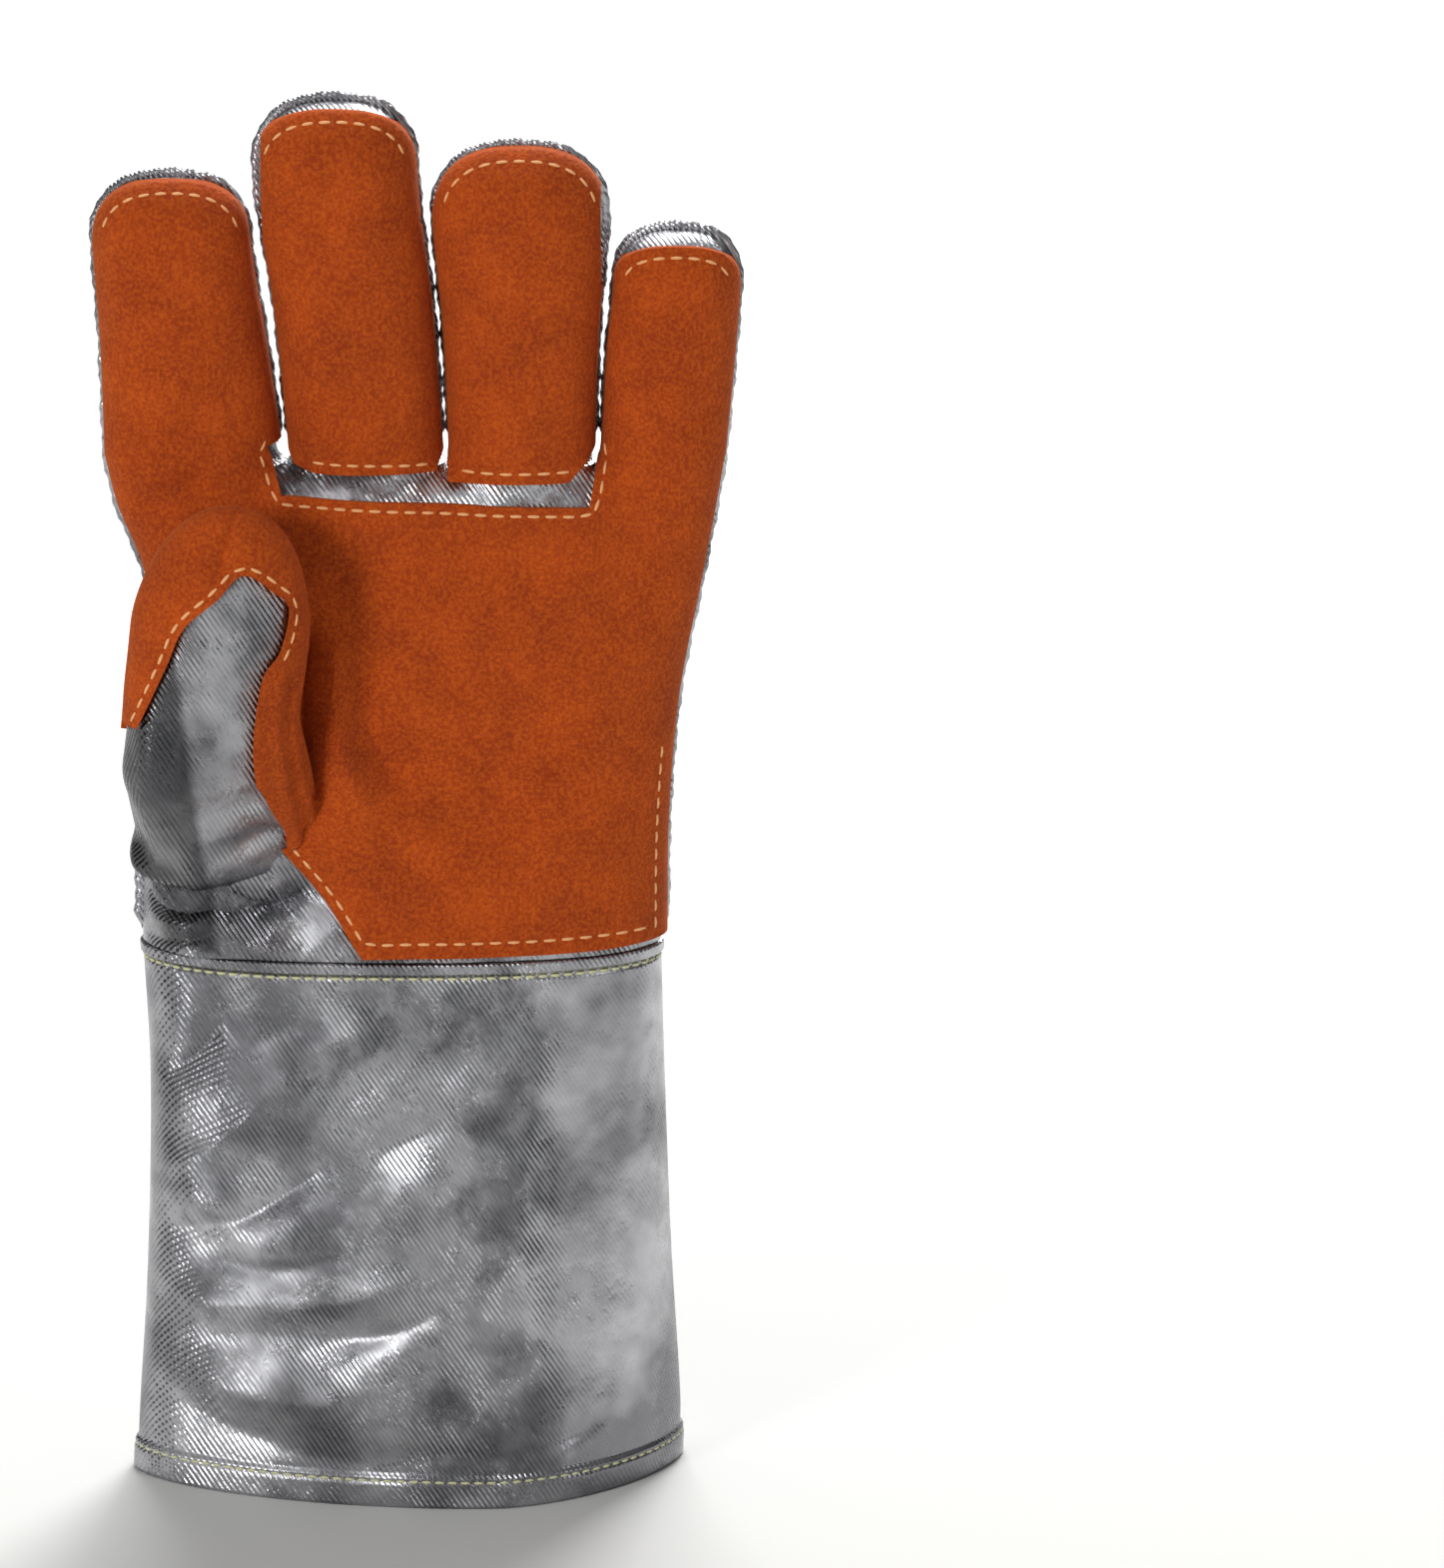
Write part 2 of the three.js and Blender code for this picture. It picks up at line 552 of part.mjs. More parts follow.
const palmOutline = [
  [heel.x, heel.z],
  [reach, heel.z + 0.04 * palmLength],
  [reach, pastTips],
  ...slotLine(3).reverse(),
  [stripEdge(3, 1, 0), crotch + 0.6 * notchHeight],
  [notchRight + 0.016 * handWidth, crotch + 0.5 * notchHeight],
  [notchRight, notchFoot - 0.5 * notchTilt],
  [notchLeft, notchFoot + 0.5 * notchTilt],
  [notchLeft - 0.024 * handWidth, crotch + 0.65 * notchHeight],
  [stripEdge(1, 1, 0), crotch + 0.8 * notchHeight],
  ...slotLine(1),
  [-reach, pastTips],
  [-reach, armpit.z],
  [armpit.x, armpit.z],
  [bay.x, bay.z],
];

// A finger's pad, with its two lower corners cut off by so much.
const padOutline = (number, from, to, foot, fromCut, toCut) => [
  [from, foot + fromCut],
  [from + 0.4 * fromCut, foot + 0.3 * fromCut],
  [from + 1.5 * fromCut, foot],
  [to - halfGap - toCut, foot],
  [to - halfGap, foot + toCut],
  [to, crotch + 0.6 * notchHeight],
  ...slotLine(number + 1),
  ...slotLine(number).reverse(),
];
const padGap = 2 * seamGap;
const padSplit = stripEdge(2, 1, 0);
const middleFoot = crotch - 0.1 * notchHeight;
const ringFoot = crotch - 0.4 * notchHeight;
const cornerCut = 0.6 * notchHeight;
const middlePad = padOutline(1, stripEdge(1, 1, 0), padSplit, middleFoot, cornerCut, padGap);
const ringPad = padOutline(2, padSplit + padGap, stripEdge(3, 1, 0), ringFoot, padGap, cornerCut);

// Aluminised cloth shows on the thumb's front, below its leather hood.
const thumbPoint = (x, z) => [x * handWidth, thumbFootZ + z * thumbLength];
const thumbWindow = [
  [-0.247, 0.878],
  [-0.195, 0.83],
  [-0.175, 0.79],
  [-0.19, 0.693],
  [-0.22, 0.623],
  [-0.236, 0.45],
  [-0.225, 0.31],
  [-0.19, 0.215],
  [-0.19, -0.4],
  [-0.6, -0.4],
  [-0.6, 0.5],
  [-0.425, 0.502],
  [-0.375, 0.658],
  [-0.345, 0.754],
  [-0.29, 0.823],
].map(([x, z]) => thumbPoint(x, z));
const thumbSkirt = [
  [-0.6, -0.4],
  [-0.16, -0.4],
  [-0.19, 0.215],
  [-0.225, 0.34],
  [-0.28, 0.46],
  [-0.6, 0.5],
].map(([x, z]) => thumbPoint(x, z));
const windowDepth = thumbSpine(0.6).y;

const aluminised = { color: 0xc9cbcf, roughness: 0.32, metalness: 0.9 };
const leather = { color: 0xc4500f, roughness: 0.92, metalness: 0 };

const pieces = [
  { name: "cuff", body: cuffSolid(), look: aluminised },
  { name: "back_panel", body: handShell.intersect(backSpace), look: aluminised },
  {
    name: "palm_backing",
    body: handShell.intersect(frontSpace).subtract(thumbHollow),
    look: aluminised,
  },
  {
    name: "palm_leather",
    body: leatherSkin.intersect(prism(palmOutline, -reach, reach)).subtract(thumbSeam),
    look: leather,
  },
  {
    name: "middle_finger_leather",
    body: leatherSkin.intersect(prism(middlePad, -reach, reach)),
    look: leather,
  },
  {
    name: "ring_finger_leather",
    body: leatherSkin.intersect(prism(ringPad, -reach, reach)),
    look: leather,
  },
  {
    name: "thumb_panel",
    body: thumbSolid(0).subtract(thumbHollow).subtract(handSeam),
    look: aluminised,
  },
  {
    name: "thumb_leather",
    body: thumbSolid(leatherFace)
      .subtract(thumbSeam)
      .subtract(handSolid(leatherFace + seamGap, wrist))
      .subtract(prism(thumbWindow, -reach, windowDepth))
      .subtract(prism(thumbSkirt, -reach, reach)),
    look: leather,
  },
];

// The whole hand leans gently to the palm, more so towards the fingertips.
function lean([x, y, z]) {
  const share = Math.max(0, (z - wrist) / (palmLength + fingerLength));
  return [x, y - fingerCurl * share * share, z];
}

function meshOf({ name, body, look }) {
  const made = body.getMesh();
  const places = [];
  for (let i = 0; i < made.numVert; i += 1) {
    const at = i * made.numProp;
    places.push(...lean(made.vertProperties.subarray(at, at + 3)));
  }
  const geometry = new THREE.BufferGeometry();
  geometry.setAttribute("position", new THREE.Float32BufferAttribute(places, 3));
  geometry.setIndex(new THREE.BufferAttribute(made.triVerts, 1));
  geometry.computeVertexNormals();
  const mesh = new THREE.Mesh(geometry, new THREE.MeshStandardMaterial(look));
  mesh.name = name;
  return mesh;
}

const glove = new THREE.Group();
for (const piece of pieces) glove.add(meshOf(piece));

// The origin is the middle of the glove's box, on the surface that it stands on.
const box = new THREE.Box3().setFromObject(glove);
glove.position.set(-(box.min.x + box.max.x) / 2, -(box.min.y + box.max.y) / 2, -box.min.z);

export default glove;
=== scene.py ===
import json

import bpy
import numpy as np
from mathutils.bvhtree import BVHTree
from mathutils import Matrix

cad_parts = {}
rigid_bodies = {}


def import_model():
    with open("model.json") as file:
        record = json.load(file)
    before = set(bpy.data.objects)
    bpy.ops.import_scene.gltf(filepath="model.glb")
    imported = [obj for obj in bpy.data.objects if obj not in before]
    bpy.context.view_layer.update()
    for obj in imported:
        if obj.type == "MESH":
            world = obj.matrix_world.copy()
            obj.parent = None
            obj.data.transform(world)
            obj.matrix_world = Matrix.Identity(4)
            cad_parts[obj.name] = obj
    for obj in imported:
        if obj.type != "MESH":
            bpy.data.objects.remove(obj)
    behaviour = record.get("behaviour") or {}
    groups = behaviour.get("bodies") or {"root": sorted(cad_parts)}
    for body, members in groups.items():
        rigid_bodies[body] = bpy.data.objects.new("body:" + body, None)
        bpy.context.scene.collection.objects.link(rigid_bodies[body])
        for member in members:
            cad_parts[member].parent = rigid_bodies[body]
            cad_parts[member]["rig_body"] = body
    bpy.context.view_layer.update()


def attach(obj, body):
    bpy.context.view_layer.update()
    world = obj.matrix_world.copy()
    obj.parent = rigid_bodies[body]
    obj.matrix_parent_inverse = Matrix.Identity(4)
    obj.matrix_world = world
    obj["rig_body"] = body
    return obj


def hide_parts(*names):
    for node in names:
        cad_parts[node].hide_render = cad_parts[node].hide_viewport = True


# Aluminised heat resistant gauntlet for the left hand, standing on its open cuff.
# Shapes are worked out in millimetres, x from the thumb to the little finger and the palm
# towards -y, and toFrame() brings them to metres in the frame of the solids.
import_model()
front, back = -1, 1
millimetre = 0.001

glove = {
    "cuffHeight": 148.0,
    "cuffWidth": 148.0,
    "cuffDepth": 84.0,
    "palmLength": 133.0,
    "handWidth": 163.0,
    "handDepth": 58.0,
    "fingerLength": 98.5,
    "fingerWidth": 44.0,
    "fingerDepth": 30.0,
    "fingerGap": 4.6,
    "webHeight": 14.0,
    "thumbLength": 115.0,
    "thumbWidth": 44.0,
    "thumbDepth": 31.0,
    "shellWall": 3.0,
    "leatherWall": 1.4,
    "seamGap": 0.3,
    "fingerCurl": 10.0,
    "hemTwist": 13.0,
    "placeX": -4.5,
    "placeY": 9.93,
}
wrist = glove["cuffHeight"] + glove["seamGap"]
crotch = glove["cuffHeight"] + glove["palmLength"]
halfGap = glove["fingerGap"] / 2
slotRound = 1.6 * halfGap
leatherFace = glove["seamGap"] + glove["leatherWall"]
webShare = glove["webHeight"] / glove["palmLength"]


def table(names, rows):
    # rows of numbers as dictionaries under the same names
    return [dict(zip(names.split(), row)) for row in rows]


# shares of handWidth and of half of handDepth, from the wrist to the foot of the fingers
handRows = [
    (0.0, 0.436, 0.425, 1.0, 1.0),
    (0.25, 0.428, 0.428, 0.95, 0.94),
    (0.5, 0.41, 0.445, 0.84, 0.86),
    (0.75, 0.414, 0.484, 0.7, 0.73),
    (0.9, 0.458, 0.507, 0.6, 0.62),
    (1.0, 0.477, 0.521, 0.55, 0.56),
]
handSections = table("at left right palm rear", handRows)
depthNames = {front: "palm", back: "rear"}

# root is the share of the hand that a finger stands on, the rest are shares of the hand's
# and the longest finger's sizes
fingerRows = [
    (0.29, -0.355, 0.936, -0.372, 0.885, 0.788, 1.0),
    (0.262, -0.076, 0.89, -0.1025, 0.914, 1.0, 1.03),
    (0.248, 0.197, 0.877, 0.197, 0.99, 0.869, 1.03),
    (0.2, 0.4405, 0.709, 0.452, 0.7, 0.641, 0.87),
]
fingers = table("root midX midWide endX endWide length depth", fingerRows)


def both(value):
    # the same for the glove's front and its back
    return {front: value, back: value}


def smoothStep(t):
    t = np.clip(t, 0.0, 1.0)
    return t * t * (3 - 2 * t)


def along(sections, column, at):
    # cubic Hermite curve through a table's values, its slopes the chords of their neighbours
    places = np.array([row["at"] for row in sections])
    values = np.array([row[column] for row in sections])
    order = np.arange(len(places))
    before, after = np.maximum(order - 1, 0), np.minimum(order + 1, len(places) - 1)
    slopes = (values[after] - values[before]) / (places[after] - places[before])
    at = np.clip(at, places[0], places[-1])
    i = np.clip(np.searchsorted(places, at) - 1, 0, len(places) - 2)
    step = places[i + 1] - places[i]
    t = (at - places[i]) / step
    level = values[i] + (values[i + 1] - values[i]) * (3 - 2 * t) * t * t
    return level + step * (slopes[i] * t * (1 - t) ** 2 - slopes[i + 1] * t * t * (1 - t))


def foldLift(folds, x, z, sizes):
    # sum of round ridges and grooves: a bell across each fold that dies away at its ends
    lift = np.zeros(np.broadcast(x, z).shape)
    sizeX, sizeZ, sizeLift = sizes
    for foldX, foldZ, turn, long, wide, height in folds:
        dx, dz = x - foldX * sizeX, z - foldZ * sizeZ
        sine, cosine = np.sin(np.radians(turn)), np.cos(np.radians(turn))
        across = (dx * cosine - dz * sine) / (wide * sizeZ)
        down = (dx * sine + dz * cosine) / (0.5 * long * sizeZ)
        lift += height * sizeLift * np.exp(-across**2) * (1 - smoothStep(np.abs(down)))
    return lift


def creaseLift(creases, x, z):
    # sum of creases between two points: the lift falls off across a crease as the exponential of
    # -|distance / width| ** sharp, and swells from nothing and back along it
    lift = np.zeros(np.broadcast(x, z).shape)
    for x0, z0, x1, z1, width, sharp, height in creases:
        dx, dz = x1 - x0, z1 - z0
        length = np.hypot(dx, dz)
        place = ((x - x0) * dx + (z - z0) * dz) / length**2
        bow = 0.08 * length * np.sin(np.pi * np.clip(place, 0, 1))
        across = ((x - x0) * dz - (z - z0) * dx) / length - bow
        swell = smoothStep((0.5 - np.abs(place - 0.5)) / 0.3 + 0.25)
        lift += height * swell * np.exp(-np.abs(across / width) ** sharp)
    return lift


def crumple(x, z, wave, seed):
    # soft crumple between about -1 and 1: folded plane waves in random directions
    draw = np.random.default_rng(seed)
    total = np.zeros(np.broadcast(x, z).shape)
    for _ in range(9):
        angle, phase = draw.uniform(0, np.pi), draw.uniform(0, 2 * np.pi)
        length = wave * draw.uniform(0.6, 1.7)
        warp = 1.3 * np.sin((x * np.sin(angle) - z * np.cos(angle)) / (1.7 * length) + phase)
        total += np.sin(2 * np.pi * (x * np.cos(angle) + z * np.sin(angle)) / length + phase + warp)
    return total / 4.5


def stripEdge(number, share, offset):
    # x of the line between two fingers' strips, from the thumb's side (0) to the little finger's (4)
    left = -glove["handWidth"] * along(handSections, "left", share) - offset
    right = glove["handWidth"] * along(handSections, "right", share) + offset
    if number == 0:
        return left
    if number == 4:
        return right
    roots = sum(finger["root"] for finger in fingers[:number])
    return left + offset + (right - left - 2 * offset) * roots


def ovalDepth(side, x, share, offset):
    # half depth of the hand's own oval, a superellipse that closes to nothing between the fingers
    left, right = stripEdge(0, share, offset), stripEdge(4, share, offset)
    place = np.clip(np.abs((2 * x - left - right) / (right - left)), 0, 1)
    half = glove["handDepth"] / 2 * along(handSections, depthNames[side], share) + offset
    rise = np.clip((share - 1 + webShare) / webShare, 0, 1)
    return half * np.sqrt(1 - place**2.6) * np.sqrt(1 - rise**2)


def bulge(across):
    # a finger's depth as a share of its full depth, from its middle (0) to its sides (-1 and 1)
    return (1 - np.abs(across) ** 2.4) ** (1 / 2.2)


def palmDepth(number, side, x, across, share, offset):
    # a finger's own bulge runs on into the palm and fades; the sixth powers blend it with the oval
    half = glove["fingerDepth"] / 2 * fingers[number]["depth"] + offset
    reach = (1 - share) * glove["palmLength"] / (1.4 * glove["fingerWidth"])
    fade = 0.45 + 0.55 * smoothStep(1 - reach)
    own = fade * half * bulge(across)
    return (own**6 + ovalDepth(side, x, share, offset) ** 6) ** (1 / 6)


def fingerReach(number):
    # a finger's length over the fingers' feet, and how much of it is the rounded tip
    finger = fingers[number]
    return finger["length"] * glove["fingerLength"], 0.95 * finger["endWide"] * glove["fingerWidth"] / 2


def fingerSection(number, height, offset):
    # middle, half width and half depth of a finger at a height over the fingers' feet
    finger = fingers[number]
    length, dome = fingerReach(number)
    low = stripEdge(number, np.array(1.0), 0) + (halfGap if number else 0)
    high = stripEdge(number + 1, np.array(1.0), 0) - (halfGap if number < 3 else 0)
    endX, endWide = finger["endX"] * glove["handWidth"], finger["endWide"] * glove["fingerWidth"] / 2
    midX, midWide = finger["midX"] * glove["handWidth"], finger["midWide"] * glove["fingerWidth"] / 2
    rows = [(0.0, (low + high) / 2, (high - low) / 2), (0.42, midX, midWide)]
    shape = table("at x wide", rows + [(0.77, endX, endWide), (1.0, endX, endWide)])
    half = along(shape, "wide", height / length)
    middle = along(shape, "x", height / length)
    opening = np.sqrt(1 - np.clip(1 - (height - offset) / slotRound, 0, 1) ** 2)
    inner = offset * opening + halfGap * (1 - opening)
    start = middle - half - (inner if number else offset)
    end = middle + half + (inner if number < 3 else offset)
    past = np.clip((height - length + dome) / (dome + offset), 0, 1)
    wide = (1 - past**2.5) ** (1 / 2.5)
    deep = np.sqrt(1 - past**2.2)
    depth = glove["fingerDepth"] / 2 * finger["depth"] + offset
    return (start + end) / 2, (end - start) / 2 * wide, depth * deep


def handStrip(number, side, offset, detail, relief, foot):
    # one strip of the hand's surface, rows up from the foot to the fingertip, columns across
    across = np.sin(np.linspace(-np.pi / 2, np.pi / 2, detail["across"] + 1))[None, :]
    lower = np.linspace(0, 1 - webShare, detail["palm"], endpoint=False)
    web = 1 - webShare * (1 - np.sin(np.radians(np.linspace(0, 90, detail["web"] + 1))))
    share = np.concatenate([lower, web])[:, None]
    low, high = stripEdge(number, share, offset), stripEdge(number + 1, share, offset)
    x = (low + high) / 2 + (high - low) / 2 * across
    depth = palmDepth(number, side, x, across, share, offset)
    z = wrist + share * (crotch + offset - wrist) + 0 * x
    length, dome = fingerReach(number)
    opening = offset + slotRound * (1 - np.cos(np.radians(np.linspace(18, 90, 5))))
    tube = np.linspace(offset + slotRound, length - dome, detail["finger"] + 1)[1:]
    turn = np.radians(np.linspace(0, 90, detail["tip"] + 1)[1:])
    tip = length - dome + (dome + offset) * np.sin(turn)
    height = np.concatenate([opening, tube, tip])[:, None]
    middle, half, deep = fingerSection(number, height, offset)
    x = np.concatenate([x, middle + half * across])
    depth = np.concatenate([depth, deep * bulge(across)])
    z = np.concatenate([z, crotch + height + 0 * across])
    depth = depth + relief(side, x, z) * smoothStep(depth / (0.3 * glove["handDepth"]))
    strip = np.stack([x, side * depth, z], axis=-1)
    base = strip[:1].copy()
    base[..., 2] = foot
    return np.concatenate([base, strip]) if foot < wrist - 0.01 else strip


def gridFaces(rows, columns, first, flip):
    # two triangles for each cell of a grid of points
    index = first + np.arange(rows * columns).reshape(rows, columns)
    a, b, c, d = index[:-1, :-1], index[:-1, 1:], index[1:, 1:], index[1:, :-1]
    faces = np.stack([np.stack([a, b, c], -1), np.stack([a, c, d], -1)]).reshape(-1, 3)
    return faces[:, ::-1] if flip else faces


def weld(points, faces):
    # points that fall together become one, and faces that lose a corner go
    _, first, to = np.unique(np.round(points, 3), axis=0, return_index=True, return_inverse=True)
    faces = to.reshape(-1)[faces]
    return points[first], faces[(faces != np.roll(faces, 1, axis=1)).all(axis=1)]


def addObject(name, data):
    thing = bpy.data.objects.new(name, data)
    bpy.context.scene.collection.objects.link(thing)
    return thing


def meshObject(name, points, faces):
    mesh = bpy.data.meshes.new(name)
    mesh.from_pydata(points.tolist(), [], [list(face) for face in faces])
    return addObject(name, mesh)


def gridObject(name, grid, flip):
    # a mesh over a grid of points that closes on itself
    return meshObject(name, *weld(grid.reshape(-1, 3), gridFaces(*grid.shape[:2], 0, flip)))


def handSolid(name, offset, detail, reliefs, foot=wrist):
    # closed hand: front and back strips, and a lid over the wrist
    points, faces, ring, rim, count = [], [], [], [], 0
    for side in (front, back):
        for number in range(4):
            strip = handStrip(number, side, offset, detail[side], reliefs[side], foot)
            rows, columns = strip.shape[:2]
            points.append(strip.reshape(-1, 3))
            faces.append(gridFaces(rows, columns, count, side == back))
            count += rows * columns
            (ring if side == front else rim).append(strip[0])
    outline = np.concatenate(ring + [np.concatenate(rim)[::-1]])
    points += [outline, np.array([[0.0, 0.0, foot]])]
    index = count + np.arange(len(outline))
    middle = np.full(len(outline), count + len(outline))
    faces.append(np.stack([middle, np.roll(index, -1), index], -1))
    return meshObject(name, *weld(np.concatenate(points), np.concatenate(faces)))


def prism(name, outline, low=-300, high=300):
    # cutter over an outline in x and z, from one depth to another, its faces outwards
    outline = np.array(outline, float)
    after = np.roll(outline, -1, axis=0)
    if (outline[:, 0] * after[:, 1] - after[:, 0] * outline[:, 1]).sum() > 0:
        outline = outline[::-1]
    count = len(outline)
    points = np.concatenate([np.insert(outline, 1, low, axis=1), np.insert(outline, 1, high, axis=1)])
    faces = [[i, (i + 1) % count, count + (i + 1) % count, count + i] for i in range(count)]
    return meshObject(name, points, faces + [list(range(count))[::-1], list(range(count, 2 * count))])


def cut(thing, cutter, operation):
    # boolean of two closed meshes; a result without faces, or the same as before, is an error
    count = len(thing.data.polygons)
    modifier = thing.modifiers.new("cut", "BOOLEAN")
    modifier.object = cutter
    modifier.operation = operation
    modifier.solver = "MANIFOLD"
    bpy.context.view_layer.update()
    done = bpy.data.meshes.new_from_object(thing.evaluated_get(bpy.context.evaluated_depsgraph_get()))
    thing.modifiers.clear()
    thing.data = done
    if len(done.polygons) in (0, count):
        raise RuntimeError(f"{thing.name}: the {operation} with {cutter.name} failed")
    return thing


def copyOf(thing, name):
    return addObject(name, thing.data.copy())


def toFrame(points):
    # leans the hand to the palm by the square of the height, then brings mm to metres in the frame
    points = np.array(points, float)
    lean = np.clip((points[..., 2] - wrist) / (glove["palmLength"] + glove["fingerLength"]), 0, None)
    points[..., 1] -= glove["fingerCurl"] * lean**2
    return (points + [glove["placeX"], glove["placeY"], 0]) * millimetre


def place(thing, node, slot, material):
    # moves a finished mesh to its place, smooth but for its edges, and ties it to its solid
    mesh = thing.data
    points = np.zeros(len(mesh.vertices) * 3)
    mesh.vertices.foreach_get("co", points)
    mesh.vertices.foreach_set("co", toFrame(points.reshape(-1, 3)).reshape(-1))
    mesh.polygons.foreach_set("use_smooth", np.ones(len(mesh.polygons), bool))
    mesh.update()
    mesh.set_sharp_from_angle(angle=np.radians(40))
    mesh.materials.clear()
    mesh.materials.append(material)
    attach(thing, "root")
    if node:
        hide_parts(node)
    return thing


# Materials


def linear(hexCode):
    parts = [int(hexCode[i : i + 2], 16) / 255 for i in (1, 3, 5)]
    return tuple(c / 12.92 if c <= 0.04045 else ((c + 0.055) / 1.055) ** 2.4 for c in parts) + (1.0,)


def newMaterial(name, **sockets):
    material = bpy.data.materials.new(name)
    material.use_nodes = True
    shader = material.node_tree.nodes["Principled BSDF"]
    for socket, value in sockets.items():
        shader.inputs[socket.replace("_", " ")].default_value = value
    return material, material.node_tree, shader


def addNode(tree, kind, settings, links):
    # settings go to the node's own properties or to the sockets of that name or number
    node = tree.nodes.new(kind)
    for key, value in settings.items():
        if isinstance(key, str) and hasattr(node, key):
            setattr(node, key, value)
        else:
            node.inputs[key].default_value = value
    for key, source in links.items():
        tree.links.new(source, node.inputs[key])
    return node


def noise(tree, where, millimetres, detail=3.0):
    # noise whose largest features are about so many millimetres
    settings = {"Scale": 1000 / millimetres, "Detail": detail, "Roughness": 0.6}
    return addNode(tree, "ShaderNodeTexNoise", settings, {"Vector": where}).outputs["Fac"]


def maths(tree, operation, *sources):
    links = dict(enumerate(sources))
    return addNode(tree, "ShaderNodeMath", {"operation": operation}, links).outputs["Value"]


def mapped(tree, source, low, high, toLow=0.0, toHigh=1.0):
    # a value between low and high brought between toLow and toHigh
    settings = {"From Min": low, "From Max": high, "To Min": toLow, "To Max": toHigh}
    return addNode(tree, "ShaderNodeMapRange", settings, {"Value": source}).outputs["Result"]


def colourRamp(tree, source, places, hexCodes):
    node = addNode(tree, "ShaderNodeValToRGB", {}, {"Fac": source})
    for k in (0, 1):
        node.color_ramp.elements[k].position = places[k]
        node.color_ramp.elements[k].color = linear(hexCodes[k])
    return node.outputs["Color"]


def bumped(tree, height, strength, metres, normal=None):
    links = {"Height": height, "Normal": normal} if normal else {"Height": height}
    settings = {"Strength": strength, "Distance": metres}
    return addNode(tree, "ShaderNodeBump", settings, links).outputs["Normal"]


# Split leather: chrome-tanned suede, dyed orange; matt, with a short nap that mottles it
leather = {
    "base": "#C04C0E",
    "worn": "#9E3808",
    "napDark": "#842B06",
    "napPale": "#D2641A",
    "napMix": 0.4,
    "napMm": 1.0,
    "mottleMm": 14.0,
}
suede, tree, shader = newMaterial(
    "splitLeather",
    Roughness=0.95,
    Specular_IOR_Level=0.25,
    Sheen_Weight=0.25,
    Sheen_Roughness=0.45,
    Sheen_Tint=linear("#FF9A4D"),
)
where = addNode(tree, "ShaderNodeTexCoord", {}, {}).outputs["Object"]
nap = noise(tree, where, leather["napMm"])
mottle = noise(tree, where, leather["mottleMm"], 5.0)
tone = colourRamp(tree, mottle, (0.34, 0.66), (leather["worn"], leather["base"]))
fleck = colourRamp(tree, nap, (0.4, 0.64), (leather["napDark"], leather["napPale"]))
mixed = addNode(tree, "ShaderNodeMix", {"data_type": "RGBA", 0: leather["napMix"]}, {6: tone, 7: fleck})
tree.links.new(mixed.outputs[2], shader.inputs["Base Color"])
tree.links.new(bumped(tree, nap, 0.7, 0.0009), shader.inputs["Normal"])

# Aluminised twill: aramid cloth with a bonded aluminium foil, so it mirrors softly, its diagonal ribs
# glint where the foil has sunk into the weave, and its colour greys where the foil has been creased;
# painted shade also darkens the colour on the thumb's outer facet and the heel beside it
foil = {
    "bright": "#D0D0D4",
    "grey": "#828286",
    "ribMm": 1.25,
    "strokeMm": 2.2,
    "crinkleMm": 6.0,
    "patchMm": 38.0,
}
aluminised, tree, shader = newMaterial("aluminisedTwill", Metallic=1.0)
coords = addNode(tree, "ShaderNodeTexCoord", {}, {}).outputs
where = coords["Object"]
# ribs slant over x and z on the broad faces, and blend into ribs over y and z on the narrow sides;
# the wave makes 10 / (2 pi) bands to a unit of its scale, and 1.19 is the length of a slanted unit
facing = addNode(tree, "ShaderNodeSeparateXYZ", {}, {"Vector": coords["Normal"]}).outputs["X"]
sideways = mapped(tree, maths(tree, "ABSOLUTE", facing), 0.5, 0.85)
rib = addNode(tree, "ShaderNodeMix", {"data_type": "FLOAT"}, {0: sideways})
ribShape = {
    "bands_direction": "DIAGONAL",
    "Scale": 2 * np.pi / (10 * 1.19 * foil["ribMm"] * millimetre),
    "Distortion": 1.0,
    "Detail": 1.0,
    "Detail Scale": 0.3,
}
for socket, scale in ((2, (1.0, 0.25, 0.65)), (3, (0.25, 1.0, 0.65))):
    slanted = addNode(tree, "ShaderNodeMapping", {"Scale": scale}, {"Vector": where}).outputs["Vector"]
    wave = addNode(tree, "ShaderNodeTexWave", ribShape, {"Vector": slanted})
    tree.links.new(wave.outputs["Fac"], rib.inputs[socket])
stroke, crinkle, patch = (noise(tree, where, foil[key]) for key in ("strokeMm", "crinkleMm", "patchMm"))
worn = mapped(tree, patch, 0.38, 0.6, 0.3, 1.0)
# masks of two facets, each the greatest of ramps along an axis: the flat facet at the right of the
# cuff's front keeps its foil smooth, and the thumb's outer facet and the heel beside it get painted
# shade
axisX, axisY, axisZ = addNode(tree, "ShaderNodeSeparateXYZ", {}, {"Vector": where}).outputs
slope = {"operation": "DOT_PRODUCT", 1: (1.0, 0.0, 0.1)}
leaning = addNode(tree, "ShaderNodeVectorMath", slope, {0: where})
facets = {
    "smooth": ((axisX, 0.027, 0.04, 1.0, 0.12), (axisY, -0.006, 0.004), (axisZ, 0.143, 0.149)),
    # painted shade: the colour falls to 0.36 on the thumb's outer facet and the heel, in front and above
    # the wrist seam
    "paintedShade": (
        (leaning.outputs["Value"], -0.0402, -0.0378, 0.36, 1.0),
        (axisY, -0.012, 0.0),
        (axisZ, 0.149, 0.152, 1.0, 0.0),
    ),
}
for name, ramps in facets.items():
    first, second, third = (mapped(tree, *ramp) for ramp in ramps)
    facets[name] = maths(tree, "MAXIMUM", maths(tree, "MAXIMUM", first, second), third)
broken = maths(tree, "MULTIPLY", rib.outputs[0], stroke)
grain = maths(tree, "MULTIPLY", broken, maths(tree, "MULTIPLY", worn, facets["smooth"]))
tree.links.new(mapped(tree, crinkle, 0.3, 0.7, 0.23, 0.38), shader.inputs["Roughness"])
greyed = colourRamp(tree, worn, (0.0, 1.0), (foil["bright"], foil["grey"]))
